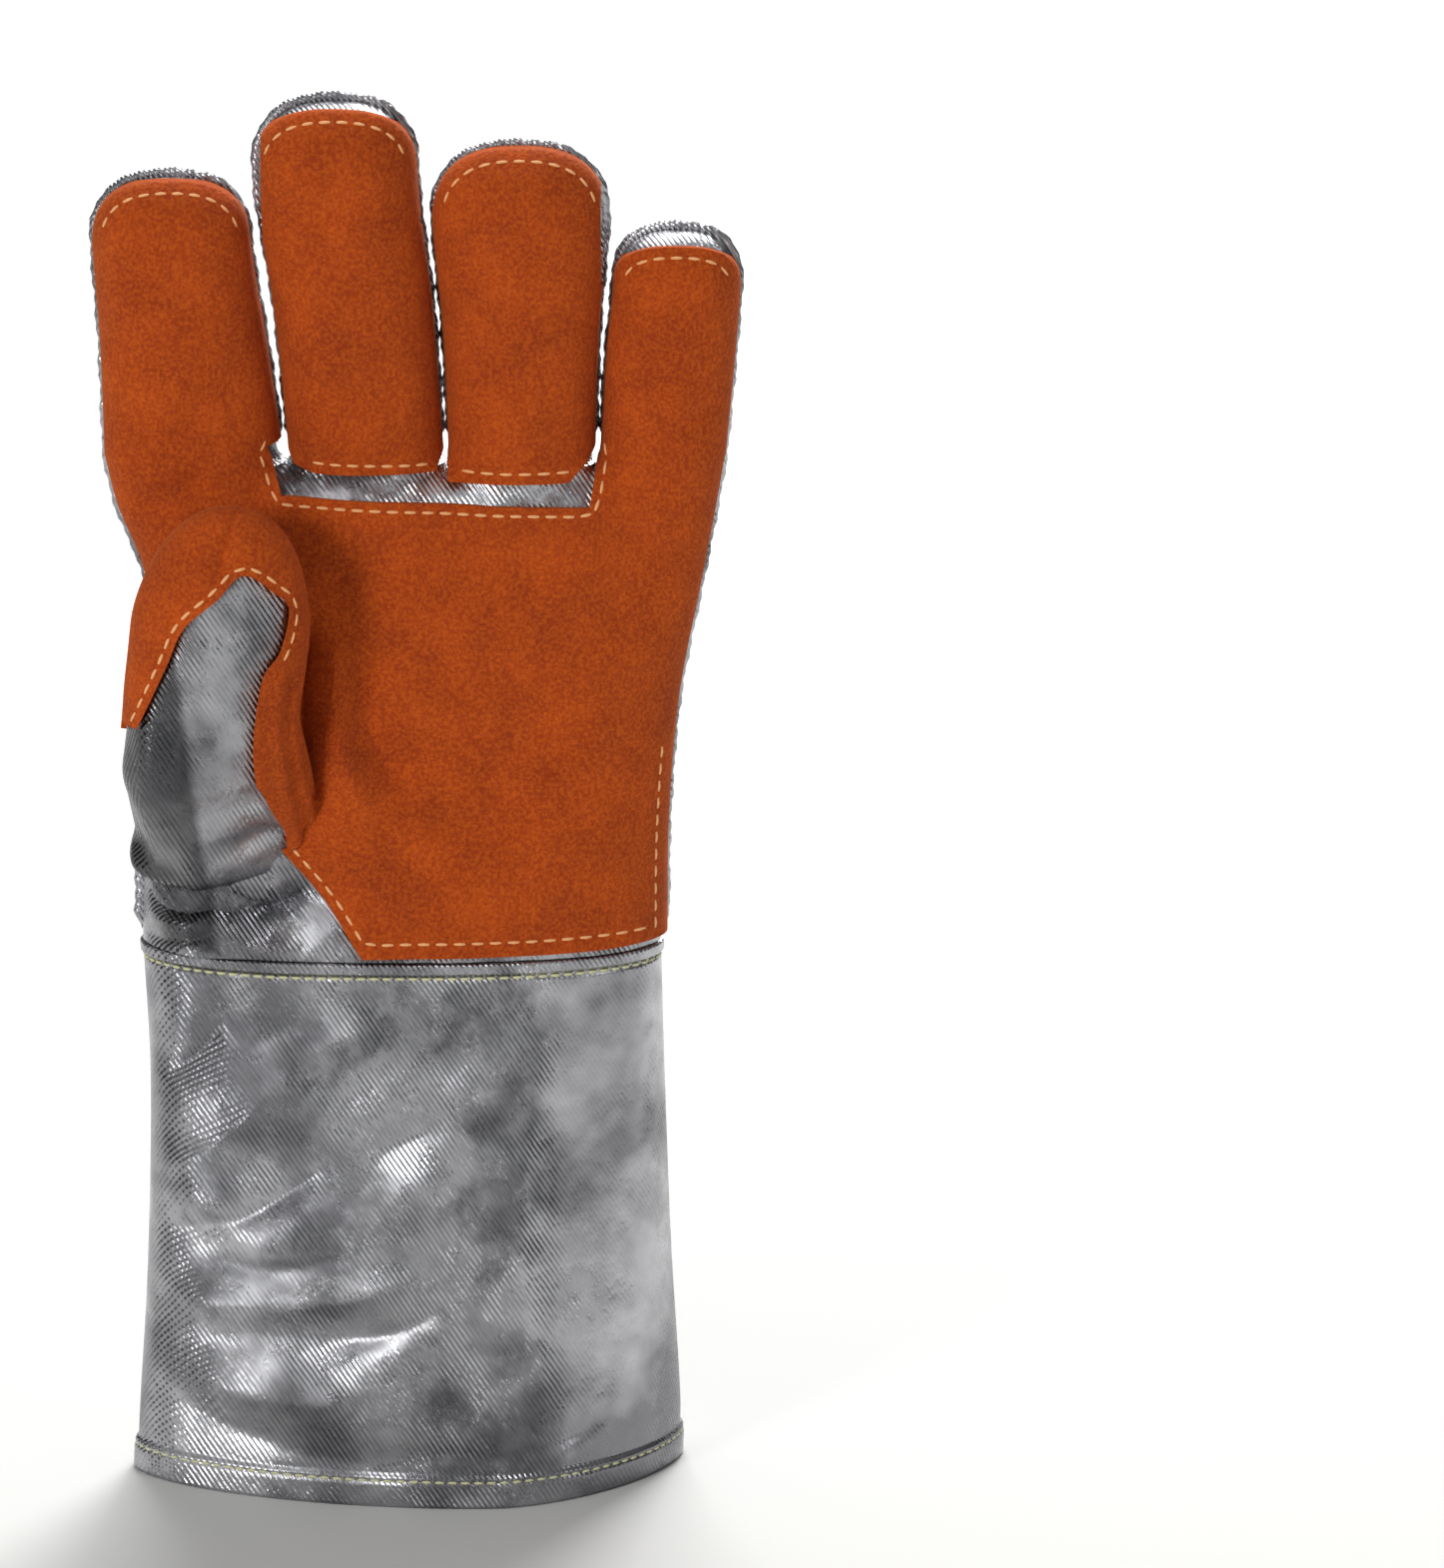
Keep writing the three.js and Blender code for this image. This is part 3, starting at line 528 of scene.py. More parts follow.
# the foil's colour times the painted shade mask, as low as 0.36 on the thumb's outer facet and the heel
links = {0: greyed, "Scale": facets["paintedShade"]}
paintedShade = addNode(tree, "ShaderNodeVectorMath", {"operation": "SCALE"}, links)
tree.links.new(paintedShade.outputs["Vector"], shader.inputs["Base Color"])
crinkled = bumped(tree, crinkle, 0.24, 0.0012)
tree.links.new(bumped(tree, grain, 1.0, 0.00085, crinkled), shader.inputs["Normal"])

# Aramid sewing thread, pale and slightly glossy; peach on the leather, straw on the silver cloth
peachThread, _, _ = newMaterial("peachThread", Base_Color=linear("#F0B074"), Roughness=0.6)
strawThread, _, _ = newMaterial("strawThread", Base_Color=linear("#CECDA2"), Roughness=0.6)
print("materials made")


# Hand

# ridges and grooves: place along x and z, turn in degrees, length and width as shares of the hand's
# length, lift as a share of its depth
handFolds = {
    front: [
        (-0.21, 0.11, 66, 0.42, 0.07, -0.1),
        (-0.32, 0.04, 78, 0.42, 0.06, 0.07),
        (-0.105, 0.44, -14, 0.4, 0.06, 0.075),
        (-0.04, 0.46, -18, 0.44, 0.06, -0.055),
        (0.12, 0.4, 24, 0.8, 0.16, -0.05),
        (0.3, 0.62, -30, 0.5, 0.1, 0.04),
    ],
    back: [
        (-0.21, 0.84, 35, 0.34, 0.075, 0.085),
        (-0.1, 0.86, -30, 0.3, 0.07, -0.07),
        (0.06, 0.84, -34, 0.36, 0.075, 0.085),
        (0.2, 0.85, 24, 0.3, 0.07, -0.065),
        (0.33, 0.83, 28, 0.34, 0.07, 0.075),
        (0.14, 0.58, 50, 0.62, 0.1, 0.085),
        (-0.08, 0.52, 42, 0.56, 0.09, -0.085),
        (-0.28, 0.5, -58, 0.36, 0.075, 0.08),
        (-0.26, 0.34, -68, 0.4, 0.07, -0.08),
        (-0.16, 0.18, 38, 0.44, 0.09, 0.07),
        (0.22, 0.26, -34, 0.5, 0.1, -0.06),
    ],
}
handSizes = (glove["handWidth"], glove["palmLength"], glove["handDepth"])
edgeX = [float(stripEdge(k, np.array(1.0), 0)) for k in range(5)]

# creases from one point to another in mm: x, z, x, z, width, sharpness, lift
palmCreases = [
    (-23, 242, -20.5, 186, 2.6, 1.2, -2.0),
    (-17, 238, -9, 190, 3.4, 1.3, 1.7),
    (-12, 232, 0, 194, 2.8, 1.2, -1.2),
    (-28, 246, -6, 262, 5.0, 1.5, -0.9),
    (30, 262, 62, 232, 7.0, 1.6, -0.8),
    (-5, 205, 40, 185, 9.0, 1.7, -0.8),
    (10, 238, 50, 252, 9.0, 1.7, 0.7),
    (-72, 268, -50, 284, 3.5, 1.2, -1.2),
    (-78, 284, -52, 296, 4.5, 1.3, -0.9),
    (-20, 304, 2, 300, 5.0, 1.3, -0.8),
    (18, 306, 44, 302, 5.0, 1.3, -0.8),
    (62, 290, 86, 300, 4.0, 1.3, -1.0),
    (-14, 178, 30, 164, 6.0, 1.5, 0.6),
]
heelCreases = [
    (-74, 151, -50, 156, 1.5, 1.2, -1.3),
    (-75, 158, -48, 160.5, 2.0, 1.2, 1.4),
    (-57, 169, -42, 160, 1.8, 1.0, -2.0),
    (-42, 160, -25, 168, 1.8, 1.0, -2.0),
    (-72, 166, -57, 159, 1.6, 1.1, -1.4),
    (-48, 155, -28, 151.5, 2.2, 1.3, 1.2),
    (-36, 170, -26, 160, 2.4, 1.1, 1.6),
    (-66, 180, -60, 166, 2.0, 1.1, -1.6),
]
backCreases = [
    (-42, 202, -12, 187, 2.4, 1.1, -1.7),
    (-44, 224, -14, 207, 4.0, 1.3, 1.6),
    (-8, 256, -24, 226, 4.0, 1.2, -1.5),
    (0, 256, 14, 226, 4.5, 1.2, 1.4),
    (18, 204, 52, 232, 5.0, 1.2, 1.6),
    (-32, 166, 2, 178, 5.0, 1.2, 1.3),
    (24, 164, 54, 190, 6.0, 1.3, -1.5),
    (-34, 244, -44, 214, 2.6, 1.1, 1.5),
    (34, 258, 50, 240, 3.0, 1.2, -1.3),
    (-46, 240, -46, 149, 0.9, 2.0, -0.8),
]
# fans of creases that run out from the fingers' feet: lean in degrees, length and lift
fan = [(-64, 17, 1.4), (-36, 24, -1.4), (-9, 30, 1.3), (20, 26, -1.5), (44, 20, 1.4), (72, 15, -1.1)]
for crotchX in edgeX[1:4]:
    for lean, reach, lift in fan:
        dx, dz = reach * np.sin(np.radians(lean)), reach * np.cos(np.radians(lean))
        backCreases.append((crotchX, crotch + 3, crotchX + dx, crotch + 1 - dz, 1.9, 1.1, lift))


def handRelief(side, x, z):
    creases = 1.5 * creaseLift(palmCreases, x, z) if side == front else creaseLift(backCreases, x, z)
    return foldLift(handFolds[side], x, z - wrist, handSizes) + creases


def clothRelief(side, x, z):
    # the folds and a crumple, and in front the creases of the thumb's heel and of the open notch
    relief = handRelief(side, x, z) + 0.5 * crumple(x, z, 26, 5) + 0.2 * crumple(x, z, 9, 6)
    if side == front:
        inNotch = np.exp(-(((z - crotch + 2) / 9) ** 2))
        relief = relief + 1.35 * creaseLift(heelCreases, x, z) + 0.55 * crumple(x, z, 6, 8) * inNotch
    return relief


fine = {"across": 36, "palm": 90, "web": 14, "finger": 60, "tip": 18}
plain = {"across": 10, "palm": 24, "web": 8, "finger": 12, "tip": 10}
box = [[-400, -400], [400, -400], [400, 800], [-400, 800]]
frontSpace = prism("frontSpace", box, -300, -glove["seamGap"] / 2)
backSpace = prism("backSpace", box, glove["seamGap"] / 2, 300)
cloth = handSolid("cloth", 0, both(fine), both(clothRelief))
hollow = handSolid("hollow", -glove["shellWall"], both(plain), both(handRelief), wrist - 6)
fineFront = {front: fine, back: {**fine, "across": 8}}
under = handSolid("under", glove["seamGap"], fineFront, both(clothRelief))
print("hand surfaces made")
backPanel = cut(cut(copyOf(cloth, "backPanel"), hollow, "DIFFERENCE"), backSpace, "INTERSECT")
palmBacking = cut(cut(copyOf(cloth, "palmBacking"), hollow, "DIFFERENCE"), frontSpace, "INTERSECT")
print("panels cut", len(backPanel.data.polygons), len(palmBacking.data.polygons))

# Leather over the palm and fingers: outlines in x and z, cut out of one skin


def smoothLine(points, step=1.0):
    # Catmull-Rom curve through the points, at even steps
    points = np.array(points, float)
    ends = np.concatenate([[2 * points[0] - points[1]], points, [2 * points[-1] - points[-2]]])
    t = np.linspace(0, 1, 24, endpoint=False)[:, None]
    parts = [
        0.5 * (2 * b + (c - a) * t + (2 * a - 5 * b + 4 * c - d) * t**2 + (3 * b - a - 3 * c + d) * t**3)
        for a, b, c, d in zip(ends, ends[1:], ends[2:], ends[3:])
    ]
    return evenly(np.concatenate(parts + [points[-1:]]), step)


def evenly(points, step=1.0):
    # the same line with points at even distances along it
    points = np.array(points, float)
    gone = np.concatenate([[0], np.cumsum(np.linalg.norm(np.diff(points, axis=0), axis=1))])
    places = np.linspace(0, gone[-1], max(int(round(gone[-1] / step)), 1) + 1)
    return np.stack([np.interp(places, gone, points[:, k]) for k in range(points.shape[1])], axis=1)


def beside(points, distance):
    # the line moved to its left by a distance
    points = np.array(points, float)
    slope = np.gradient(points, axis=0)
    slope /= np.linalg.norm(slope, axis=1, keepdims=True)
    return points + distance * np.stack([-slope[:, 1], slope[:, 0]], axis=1)


def lineDistance(x, z, lines):
    # distance from points to the nearest segment of a set of lines
    nearest = np.full(np.broadcast(x, z).shape, 1e3)
    for line in lines:
        line = np.array(line)
        for (x0, z0), (x1, z1) in zip(line[:-1], line[1:]):
            length = max((x1 - x0) ** 2 + (z1 - z0) ** 2, 1e-9)
            t = np.clip(((x - x0) * (x1 - x0) + (z - z0) * (z1 - z0)) / length, 0, 1)
            nearest = np.minimum(nearest, np.hypot(x - x0 - t * (x1 - x0), z - z0 - t * (z1 - z0)))
    return nearest


def slotLine(number):
    # up the middle of the slot before a finger, then straight on
    shorter = min(fingers[number - 1]["length"], fingers[number]["length"]) * glove["fingerLength"]
    height = np.array([0.3, 0.6, 0.75, 0.87, 0.95, 1.0]) * shorter
    middleA, halfA, _ = fingerSection(number - 1, height, leatherFace)
    middleB, halfB, _ = fingerSection(number, height, leatherFace)
    line = np.stack([(middleA + halfA + middleB - halfB) / 2, crotch + height], axis=1)
    return np.concatenate([line, [[line[-1, 0], pastTips]]])


def tipLine(number, drop):
    # edge of the leather over a fingertip: the tip's own outline, lowered by so much
    length, dome = fingerReach(number)
    middle, half, _ = fingerSection(number, np.array(length - dome), leatherFace)
    across = np.sin(np.linspace(-np.pi / 2, np.pi / 2, 40))
    rise = (dome + leatherFace - drop) * (1 - np.abs(across) ** 2.5) ** (1 / 2.5)
    return np.stack([middle + half * across, crotch + length - dome + rise], axis=1)


pastTips = crotch + 1.5 * glove["fingerLength"]
notch = {"left": -0.194 * glove["handWidth"], "width": 82.0, "height": 8.5, "tilt": 3.28}
notch["right"] = notch["left"] + notch["width"]
notchLine = [
    [edgeX[1], crotch + 0.8 * notch["height"]],
    [notch["left"] - 3.9, crotch + 0.65 * notch["height"]],
    [notch["left"], crotch - notch["height"] + notch["tilt"] / 2],
    [notch["right"], crotch - notch["height"] - notch["tilt"] / 2],
    [notch["right"] + 2.6, crotch + 0.5 * notch["height"]],
    [edgeX[3], crotch + 0.6 * notch["height"]],
]
heel, bay = [-10.8, 149.6], [-25.6, wrist + 0.17 * glove["palmLength"]]
armpit = [-0.33 * glove["handWidth"], wrist + 0.42 * glove["palmLength"]]
heelLine = smoothLine([armpit, [-38, 186], bay, [-18.5, 162], heel])
palmOutline = [heel, [400, 152.5], [400, pastTips], *slotLine(3)[::-1], *notchLine[::-1], *slotLine(1)]
palmOutline += [[-400, pastTips], [-400, armpit[1]], *heelLine[:-1]]


def padOutline(number, start, end, foot, startCut, endCut):
    # outline of a middle finger's leather: its foot with two cut corners, then the slots beside it
    corner = [[start, foot + startCut], [start + 0.4 * startCut, foot + 0.3 * startCut]]
    corner += [[start + 1.5 * startCut, foot], [end - halfGap - endCut, foot]]
    corner += [[end - halfGap, foot + endCut], [end, crotch + 5.1]]
    return corner + list(slotLine(number + 1)) + list(slotLine(number)[::-1])


middlePad = padOutline(1, edgeX[1], edgeX[2], crotch - 0.85, 5.1, 0.6)
ringPad = padOutline(2, edgeX[2] + 0.6, edgeX[3], crotch - 3.4, 0.6, 5.1)
tipDrops = [1.6, 2.8, 1.0, 4.4]
tipLines = [tipLine(number, tipDrops[number]) for number in range(4)]

# stitch lines of the leather, in x and z
edgeInset = 2.6
heelCorner = [heel[0] + 4.5, heel[1] + 3.9]
heelStitch = np.concatenate([beside(heelLine, edgeInset)[20:-3], [heelCorner]])
sideShares = np.linspace(0.03, 0.42, 12)
sideStitch = [stripEdge(4, sideShares, 0) - 1.6, wrist + sideShares * glove["palmLength"]]
palmStitches = {
    "notch": beside(evenly(notchLine, 1.0), -2.3),
    "heel": evenly(heelStitch),
    "hem": evenly([heelCorner, [66, heel[1] + 4.4]]),
    "edge": evenly(np.stack(sideStitch, axis=1)),
    "indexTip": beside(tipLines[0], -edgeInset)[3:-3],
    "littleTip": beside(tipLines[3], -edgeInset)[3:-3],
}
padStitches = {
    "middleTip": beside(tipLines[1], -edgeInset)[3:-3],
    "middleFoot": evenly([[edgeX[1] + 6.5, crotch + 2.0], [edgeX[2] - 4, crotch + 1.2]]),
    "ringTip": beside(tipLines[2], -edgeInset)[3:-3],
    "ringFoot": evenly([[edgeX[2] + 3.5, crotch - 0.6], [edgeX[3] - 6.5, crotch - 0.6]]),
}
leatherLines = list(palmStitches.values()) + list(padStitches.values())


def leatherRelief(side, x, z):
    # the thread draws the leather down along its stitches, by a bell of the distance
    relief = handRelief(side, x, z) + 0.55 * crumple(x, z, 26, 5)
    away = lineDistance(x, z, [line[::3] for line in leatherLines])
    return relief - 0.4 * np.exp(-(away**2))


over = handSolid("over", leatherFace, fineFront, {front: leatherRelief, back: handRelief})
skin = cut(cut(over, under, "DIFFERENCE"), frontSpace, "INTERSECT")
for number, line in enumerate(tipLines):
    x0, x1, above = line[0, 0] - 3, line[-1, 0] + 3, line[:, 1].max() + 20
    crescent = [*line[::-1], [x0, line[0, 1]], [x0, above], [x1, above], [x1, line[-1, 1]]]
    cut(skin, prism("crescent", crescent), "DIFFERENCE")
palmLeather, middleLeather, ringLeather = (
    cut(copyOf(skin, name), prism("leatherCutter", outline), "INTERSECT")
    for name, outline in (
        ("palmLeather", palmOutline),
        ("middleFingerLeather", middlePad),
        ("ringFingerLeather", ringPad),
    )
)
print("leather cut", len(palmLeather.data.polygons), len(middleLeather.data.polygons))

# Thumb

thumbRows = [
    (0.0, -0.275, -0.1, 0.0, 0.8, 0.5),
    (0.2, -0.292, -0.5, 0.15, 1.12, 0.9),
    (0.38, -0.306, -0.98, 0.33, 1.14, 1.0),
    (0.56, -0.307, -1.3, 0.53, 1.01, 1.0),
    (0.74, -0.288, -1.42, 0.74, 1.0, 0.98),
    (1.0, -0.256, -1.42, 1.0, 0.96, 0.94),
]
thumbSections = table("at x y z wide deep", thumbRows)
# degrees about the thumb (0 faces the front), place along it, length, width in degrees, lift
thumbFolds = [
    (-38, 0.42, 0.5, 24, 0.07),
    (-75, 0.3, 0.3, 26, -0.1),
    (28, 0.3, 0.3, 20, -0.06),
    (-10, 0.1, 0.1, 70, 0.12),
    (-20, 0.17, 0.07, 60, -0.09),
    (26, 0.31, 0.09, 26, -0.045),
    (34, 0.42, 0.08, 24, -0.04),
    (-70, 0.22, 0.1, 40, 0.1),
]
thumbFootZ = wrist + 0.09 * glove["palmLength"]


def thumbSpine(at):
    # the curve up the middle of the thumb, through its sections
    x = along(thumbSections, "x", at) * glove["handWidth"]
    y = along(thumbSections, "y", at) * glove["handDepth"] / 2
    return np.stack([x, y, thumbFootZ + along(thumbSections, "z", at) * glove["thumbLength"]], axis=-1)


def rounded(value):
    # a sine or cosine to the power 0.9, which squares an oval slightly
    return np.sign(value) * np.abs(value) ** 0.9


def unit(vectors):
    return vectors / np.linalg.norm(vectors, axis=-1, keepdims=True)


def thumbSolid(name, offset, steps, sides, relief=None):
    # rings about a bent spine: squared ovals swelled by the folds, the last closing to a round tip
    turn = np.radians(np.linspace(0, 84, steps // 3 + 1)[1:])
    at = np.concatenate([np.linspace(0, 0.7, steps), 0.7 + 0.3 * np.sin(turn)])
    scaleWide = np.concatenate([np.ones(steps), np.cos(turn) ** 0.9])[:, None]
    scaleDeep = np.concatenate([np.ones(steps), np.cos(turn)])[:, None]
    push = np.concatenate([np.zeros(steps), offset * np.sin(turn)])[:, None]
    direction = unit(thumbSpine(np.minimum(at + 0.01, 1)) - thumbSpine(np.maximum(at - 0.01, 0)))
    acrossAxis = unit(np.cross([0, 1, 0], direction))
    depthAxis = np.cross(direction, acrossAxis)
    degrees = np.linspace(-180, 180, sides, endpoint=False)[None, :]
    place = at[:, None]
    swell = 0 * degrees * place
    for middle, foldAt, long, wide, lift in thumbFolds:
        away = (degrees - middle + 540) % 360 - 180
        ends = 1 - smoothStep(np.abs(place - foldAt) / (0.5 * long))
        swell += lift * glove["thumbDepth"] * np.exp(-((away / wide) ** 2)) * ends
    if relief:
        swell = swell + relief(degrees, place)
    wide = (glove["thumbWidth"] / 2 * along(thumbSections, "wide", place) + offset + swell) * scaleWide
    deep = (glove["thumbDepth"] / 2 * along(thumbSections, "deep", place) + offset + swell) * scaleDeep
    across = wide * rounded(np.sin(np.radians(degrees)))
    out = -deep * rounded(np.cos(np.radians(degrees)))
    rings = (thumbSpine(at) + direction * push)[:, None, :]
    rings = rings + across[..., None] * acrossAxis[:, None, :] + out[..., None] * depthAxis[:, None, :]
    rings = np.concatenate([rings, rings[:, :1]], axis=1)
    rows, columns = rings.shape[:2]
    ends = np.array([thumbSpine(np.array(0.0)), thumbSpine(np.array(1.0)) + [0, 0, offset]])
    faces = [gridFaces(rows, columns, 0, False)]
    low = np.arange(columns)
    high = (rows - 1) * columns + low
    foot, tip = np.full(columns, rows * columns), np.full(columns, rows * columns + 1)
    faces.append(np.stack([foot, np.roll(low, -1), low], -1)[:-1])
    faces.append(np.stack([tip, high, np.roll(high, -1)], -1)[:-1])
    return meshObject(name, *weld(np.concatenate([rings.reshape(-1, 3), ends]), np.concatenate(faces)))


def thumbCrest(degrees, place):
    # a crest down the front between two facets, falling off evenly to both sides, and a short
    # crease that pinches the thumb's top
    crest = 2.8 * np.exp(-np.abs((degrees + 16) / 20)) - 0.7
    pinch = 2.1 * np.exp(-(((degrees + 6) / 6) ** 2)) * smoothStep((place - 0.84) / 0.05)
    return crest * smoothStep(place / 0.15) * smoothStep((0.72 - place) / 0.25) - pinch


def thumbCrumple(degrees, place, wave, seed):
    # crumple over the thumb's surface, a degree being about 0.35 mm
    return crumple(degrees * 0.35, place * glove["thumbLength"], wave, seed)


def thumbCloth(degrees, place):
    return thumbCrest(degrees, place) + 0.35 * thumbCrumple(degrees, place, 16, 11)


def hoodRelief(degrees, place):
    # the hood follows the crest, with upright pleats beside the palm: a cosine under a bell
    pleats = 0.75 * np.cos(2 * np.pi * (degrees - 70) / 21) * np.exp(-(((degrees - 68) / 26) ** 2))
    pleats = pleats * smoothStep((place - 0.18) / 0.1) * smoothStep((0.74 - place) / 0.12)
    return thumbCrest(degrees, place) + pleats + 0.18 * thumbCrumple(degrees, place, 22, 13)


def thumbPoint(x, z):
    # a point by the thumb, in x and z, from shares of the hand's width and the thumb's length
    return [x * glove["handWidth"], thumbFootZ + z * glove["thumbLength"]]


thumbCore = thumbSolid("thumbCore", 0, 70, 120, thumbCloth)
thumbHollow = thumbSolid("thumbHollow", -glove["shellWall"], 20, 32)
thumbUnder = thumbSolid("thumbUnder", glove["seamGap"], 70, 120, thumbCloth)
thumbOver = thumbSolid("thumbOver", leatherFace, 80, 140, hoodRelief)
windowShares = [
    (-0.425, 0.502), (-0.375, 0.658), (-0.345, 0.754), (-0.29, 0.823), (-0.247, 0.878), (-0.195, 0.83),
    (-0.175, 0.79), (-0.19, 0.693), (-0.22, 0.623), (-0.236, 0.45), (-0.225, 0.31), (-0.19, 0.215),
]
windowEdge = smoothLine([thumbPoint(*shares) for shares in windowShares])
window = [*windowEdge, thumbPoint(-0.19, -0.4), thumbPoint(-0.6, -0.4), thumbPoint(-0.6, 0.5)]
skirtShares = [(-0.6, -0.4), (-0.16, -0.4), (-0.19, 0.215), (-0.225, 0.34), (-0.28, 0.46), (-0.6, 0.5)]
skirt = [thumbPoint(*shares) for shares in skirtShares]
handOver = handSolid("handOver", leatherFace + glove["seamGap"], both(plain), both(handRelief))
windowDepth = float(thumbSpine(np.array(0.6))[1])
thumbPanel = cut(cut(copyOf(thumbCore, "thumbPanel"), thumbHollow, "DIFFERENCE"), under, "DIFFERENCE")
thumbLeather = cut(copyOf(thumbOver, "thumbLeather"), thumbUnder, "DIFFERENCE")
cut(thumbLeather, handOver, "DIFFERENCE")
cut(thumbLeather, prism("window", window, -300, windowDepth), "DIFFERENCE")
cut(thumbLeather, prism("skirt", skirt), "DIFFERENCE")
cut(palmBacking, thumbHollow, "DIFFERENCE")
cut(palmLeather, thumbUnder, "DIFFERENCE")
print("thumb cut", len(thumbPanel.data.polygons), len(thumbLeather.data.polygons))

# Cuff

cuff = {"hem": 7.3, "hemFold": 1.1, "band": 3.3, "bandRise": 0.8, "columns": 170, "step": 1.25}
# palm, rear: depths; peak: where the front's crest stands; flat, round: powers of the front's curve
cuffRows = [
    (0.0, 0.5, 0.5, 0.555, 0.44, 0.34, 1.65, 1.6),
    (0.11, 0.495, 0.502, 0.545, 0.435, 0.33, 1.7, 1.65),
    (0.4, 0.477, 0.486, 0.47, 0.405, 0.26, 2.05, 1.8),
    (0.75, 0.469, 0.474, 0.385, 0.36, 0.12, 2.4, 1.9),
]
# at the wrist the cuff takes the hand's own width and depth
atWrist = handSections[0]
wristSides = [atWrist[key] * glove["handWidth"] / glove["cuffWidth"] for key in ("left", "right")]
wristDepth = glove["handDepth"] / 2 / glove["cuffDepth"]
cuffRows.append((1.0, *wristSides, wristDepth, wristDepth, 0.0, 2.6, 2.0))
cuffSections = table("at left right palm rear peak flat round", cuffRows)
cuffFolds = {
    front: [
        (-0.24, 0.74, -68, 0.5, 0.075, 0.036),
        (-0.26, 0.61, -64, 0.46, 0.06, -0.03),
        (-0.28, 0.5, -60, 0.5, 0.065, 0.04),
        (-0.2, 0.36, -66, 0.46, 0.065, -0.04),
        (-0.16, 0.2, -72, 0.6, 0.075, 0.036),
        (0.3, 0.5, 6, 1, 0.12, -0.045),
        (0.04, 0.6, 14, 0.8, 0.12, 0.03),
    ],
    back: [
        (0.18, 0.36, 70, 0.7, 0.09, 0.045),
        (-0.2, 0.25, -64, 0.6, 0.09, 0.04),
        (0.05, 0.7, 60, 0.7, 0.11, -0.045),
        (-0.28, 0.6, 8, 0.8, 0.11, -0.04),
    ],
}
cuffSizes = (glove["cuffWidth"], glove["cuffHeight"], glove["cuffDepth"])
cuffCreases = {
    front: [
        (-68, 70, -21, 92, 4.5, 1.2, -1.9),
        (-55, 64.5, -16, 68, 3.2, 1.2, -1.3),
        (-22, 44, 11, 55, 4.0, 1.2, -1.5),
        (-66, 112, -49, 130, 4.5, 1.2, -1.7),
        (-69, 86, -36, 113, 6.0, 1.3, 2.0),
        (-67, 55, 6, 64, 5.5, 1.3, 1.7),
        (-60, 34, -10, 30, 6.0, 1.3, 1.3),
        (-64, 24, 20, 15, 3.0, 1.1, -1.2),
        (0, 16, 56, 21, 3.0, 1.1, -1.0),
        (-40, 122, -8, 132, 6.0, 1.3, 1.1),
        (-12, 96, 14, 108, 6.0, 1.4, -1.0),
        (39, 128, 41, 20, 5.0, 1.4, 1.0),
    ],
    back: [
        (-50, 30, 40, 20, 4.0, 1.2, -1.4),
        (-40, 40, 34, 34, 7.0, 1.4, 1.6),
        (-58, 90, -10, 116, 9.0, 1.5, -1.5),
        (10, 78, 56, 96, 9.0, 1.5, 1.5),
        (-30, 66, 16, 52, 8.0, 1.4, 1.3),
        (20, 128, 60, 112, 6.0, 1.3, -1.3),
        (52, 122, 55, 24, 6.0, 1.3, -1.4),
    ],
}


def cuffRings(z, offset, detailed):
    # closed rings of the cuff: a superellipse whose front comes to a soft crest off the middle
    z, offset = z[:, None], offset[:, None]
    at = z / glove["cuffHeight"]
    left = -glove["cuffWidth"] * along(cuffSections, "left", at) - offset
    right = glove["cuffWidth"] * along(cuffSections, "right", at) + offset
    turn = np.radians(np.linspace(-90, 90, cuff["columns"], endpoint=False))[None, :]
    fade = smoothStep(z / 24) * smoothStep((glove["cuffHeight"] - z) / 12)
    halves = []
    for side in (front, back):
        peak, flat, curve = 0 * at, 2.6 + 0 * at, 2.0 + 0 * at
        if side == front:
            peak, flat, curve = (along(cuffSections, key, at) for key in ("peak", "flat", "round"))
        across = -side * rounded(np.sin(turn))
        x = (left + right) / 2 + (right - left) / 2 * across
        away = (across - peak) / (1 - peak * np.sign(across - peak))
        own = glove["cuffDepth"] * along(cuffSections, depthNames[side], at) + offset
        own = own * (1 - np.clip(np.abs(away), 0, 1) ** flat) ** (1 / curve)
        lift = foldLift(cuffFolds[side], x, z, cuffSizes) + 1.5 * creaseLift(cuffCreases[side], x, z)
        if detailed:
            # the flat facet at the right of the front is hardly crumpled
            creased = 1 - 0.75 * smoothStep((x - 33) / 8) if side == front else 1
            crumples = 0.9 * crumple(x, z, 34, 21 + side) + 0.16 * crumple(x, z, 12, 31 + side)
            lift = lift + creased * crumples
        y = side * (own + fade * smoothStep(own / (0.3 * glove["cuffDepth"])) * lift)
        twist = glove["hemTwist"] * x * (1 - at) / glove["cuffWidth"]
        halves.append(np.stack([x, y + twist, z + 0 * x], axis=-1))
    return np.concatenate(halves, axis=1)


def bell(z, middle, width):
    # the bell curve exp(-((z - middle) / width) ** 2)
    return np.exp(-(((z - middle) / width) ** 2))


top = glove["cuffHeight"]
middleZ = np.arange(12.5, top - 9, cuff["step"])
outerZ = np.concatenate([np.linspace(0, 11, 28), middleZ, np.linspace(top - 8, top, 24)])
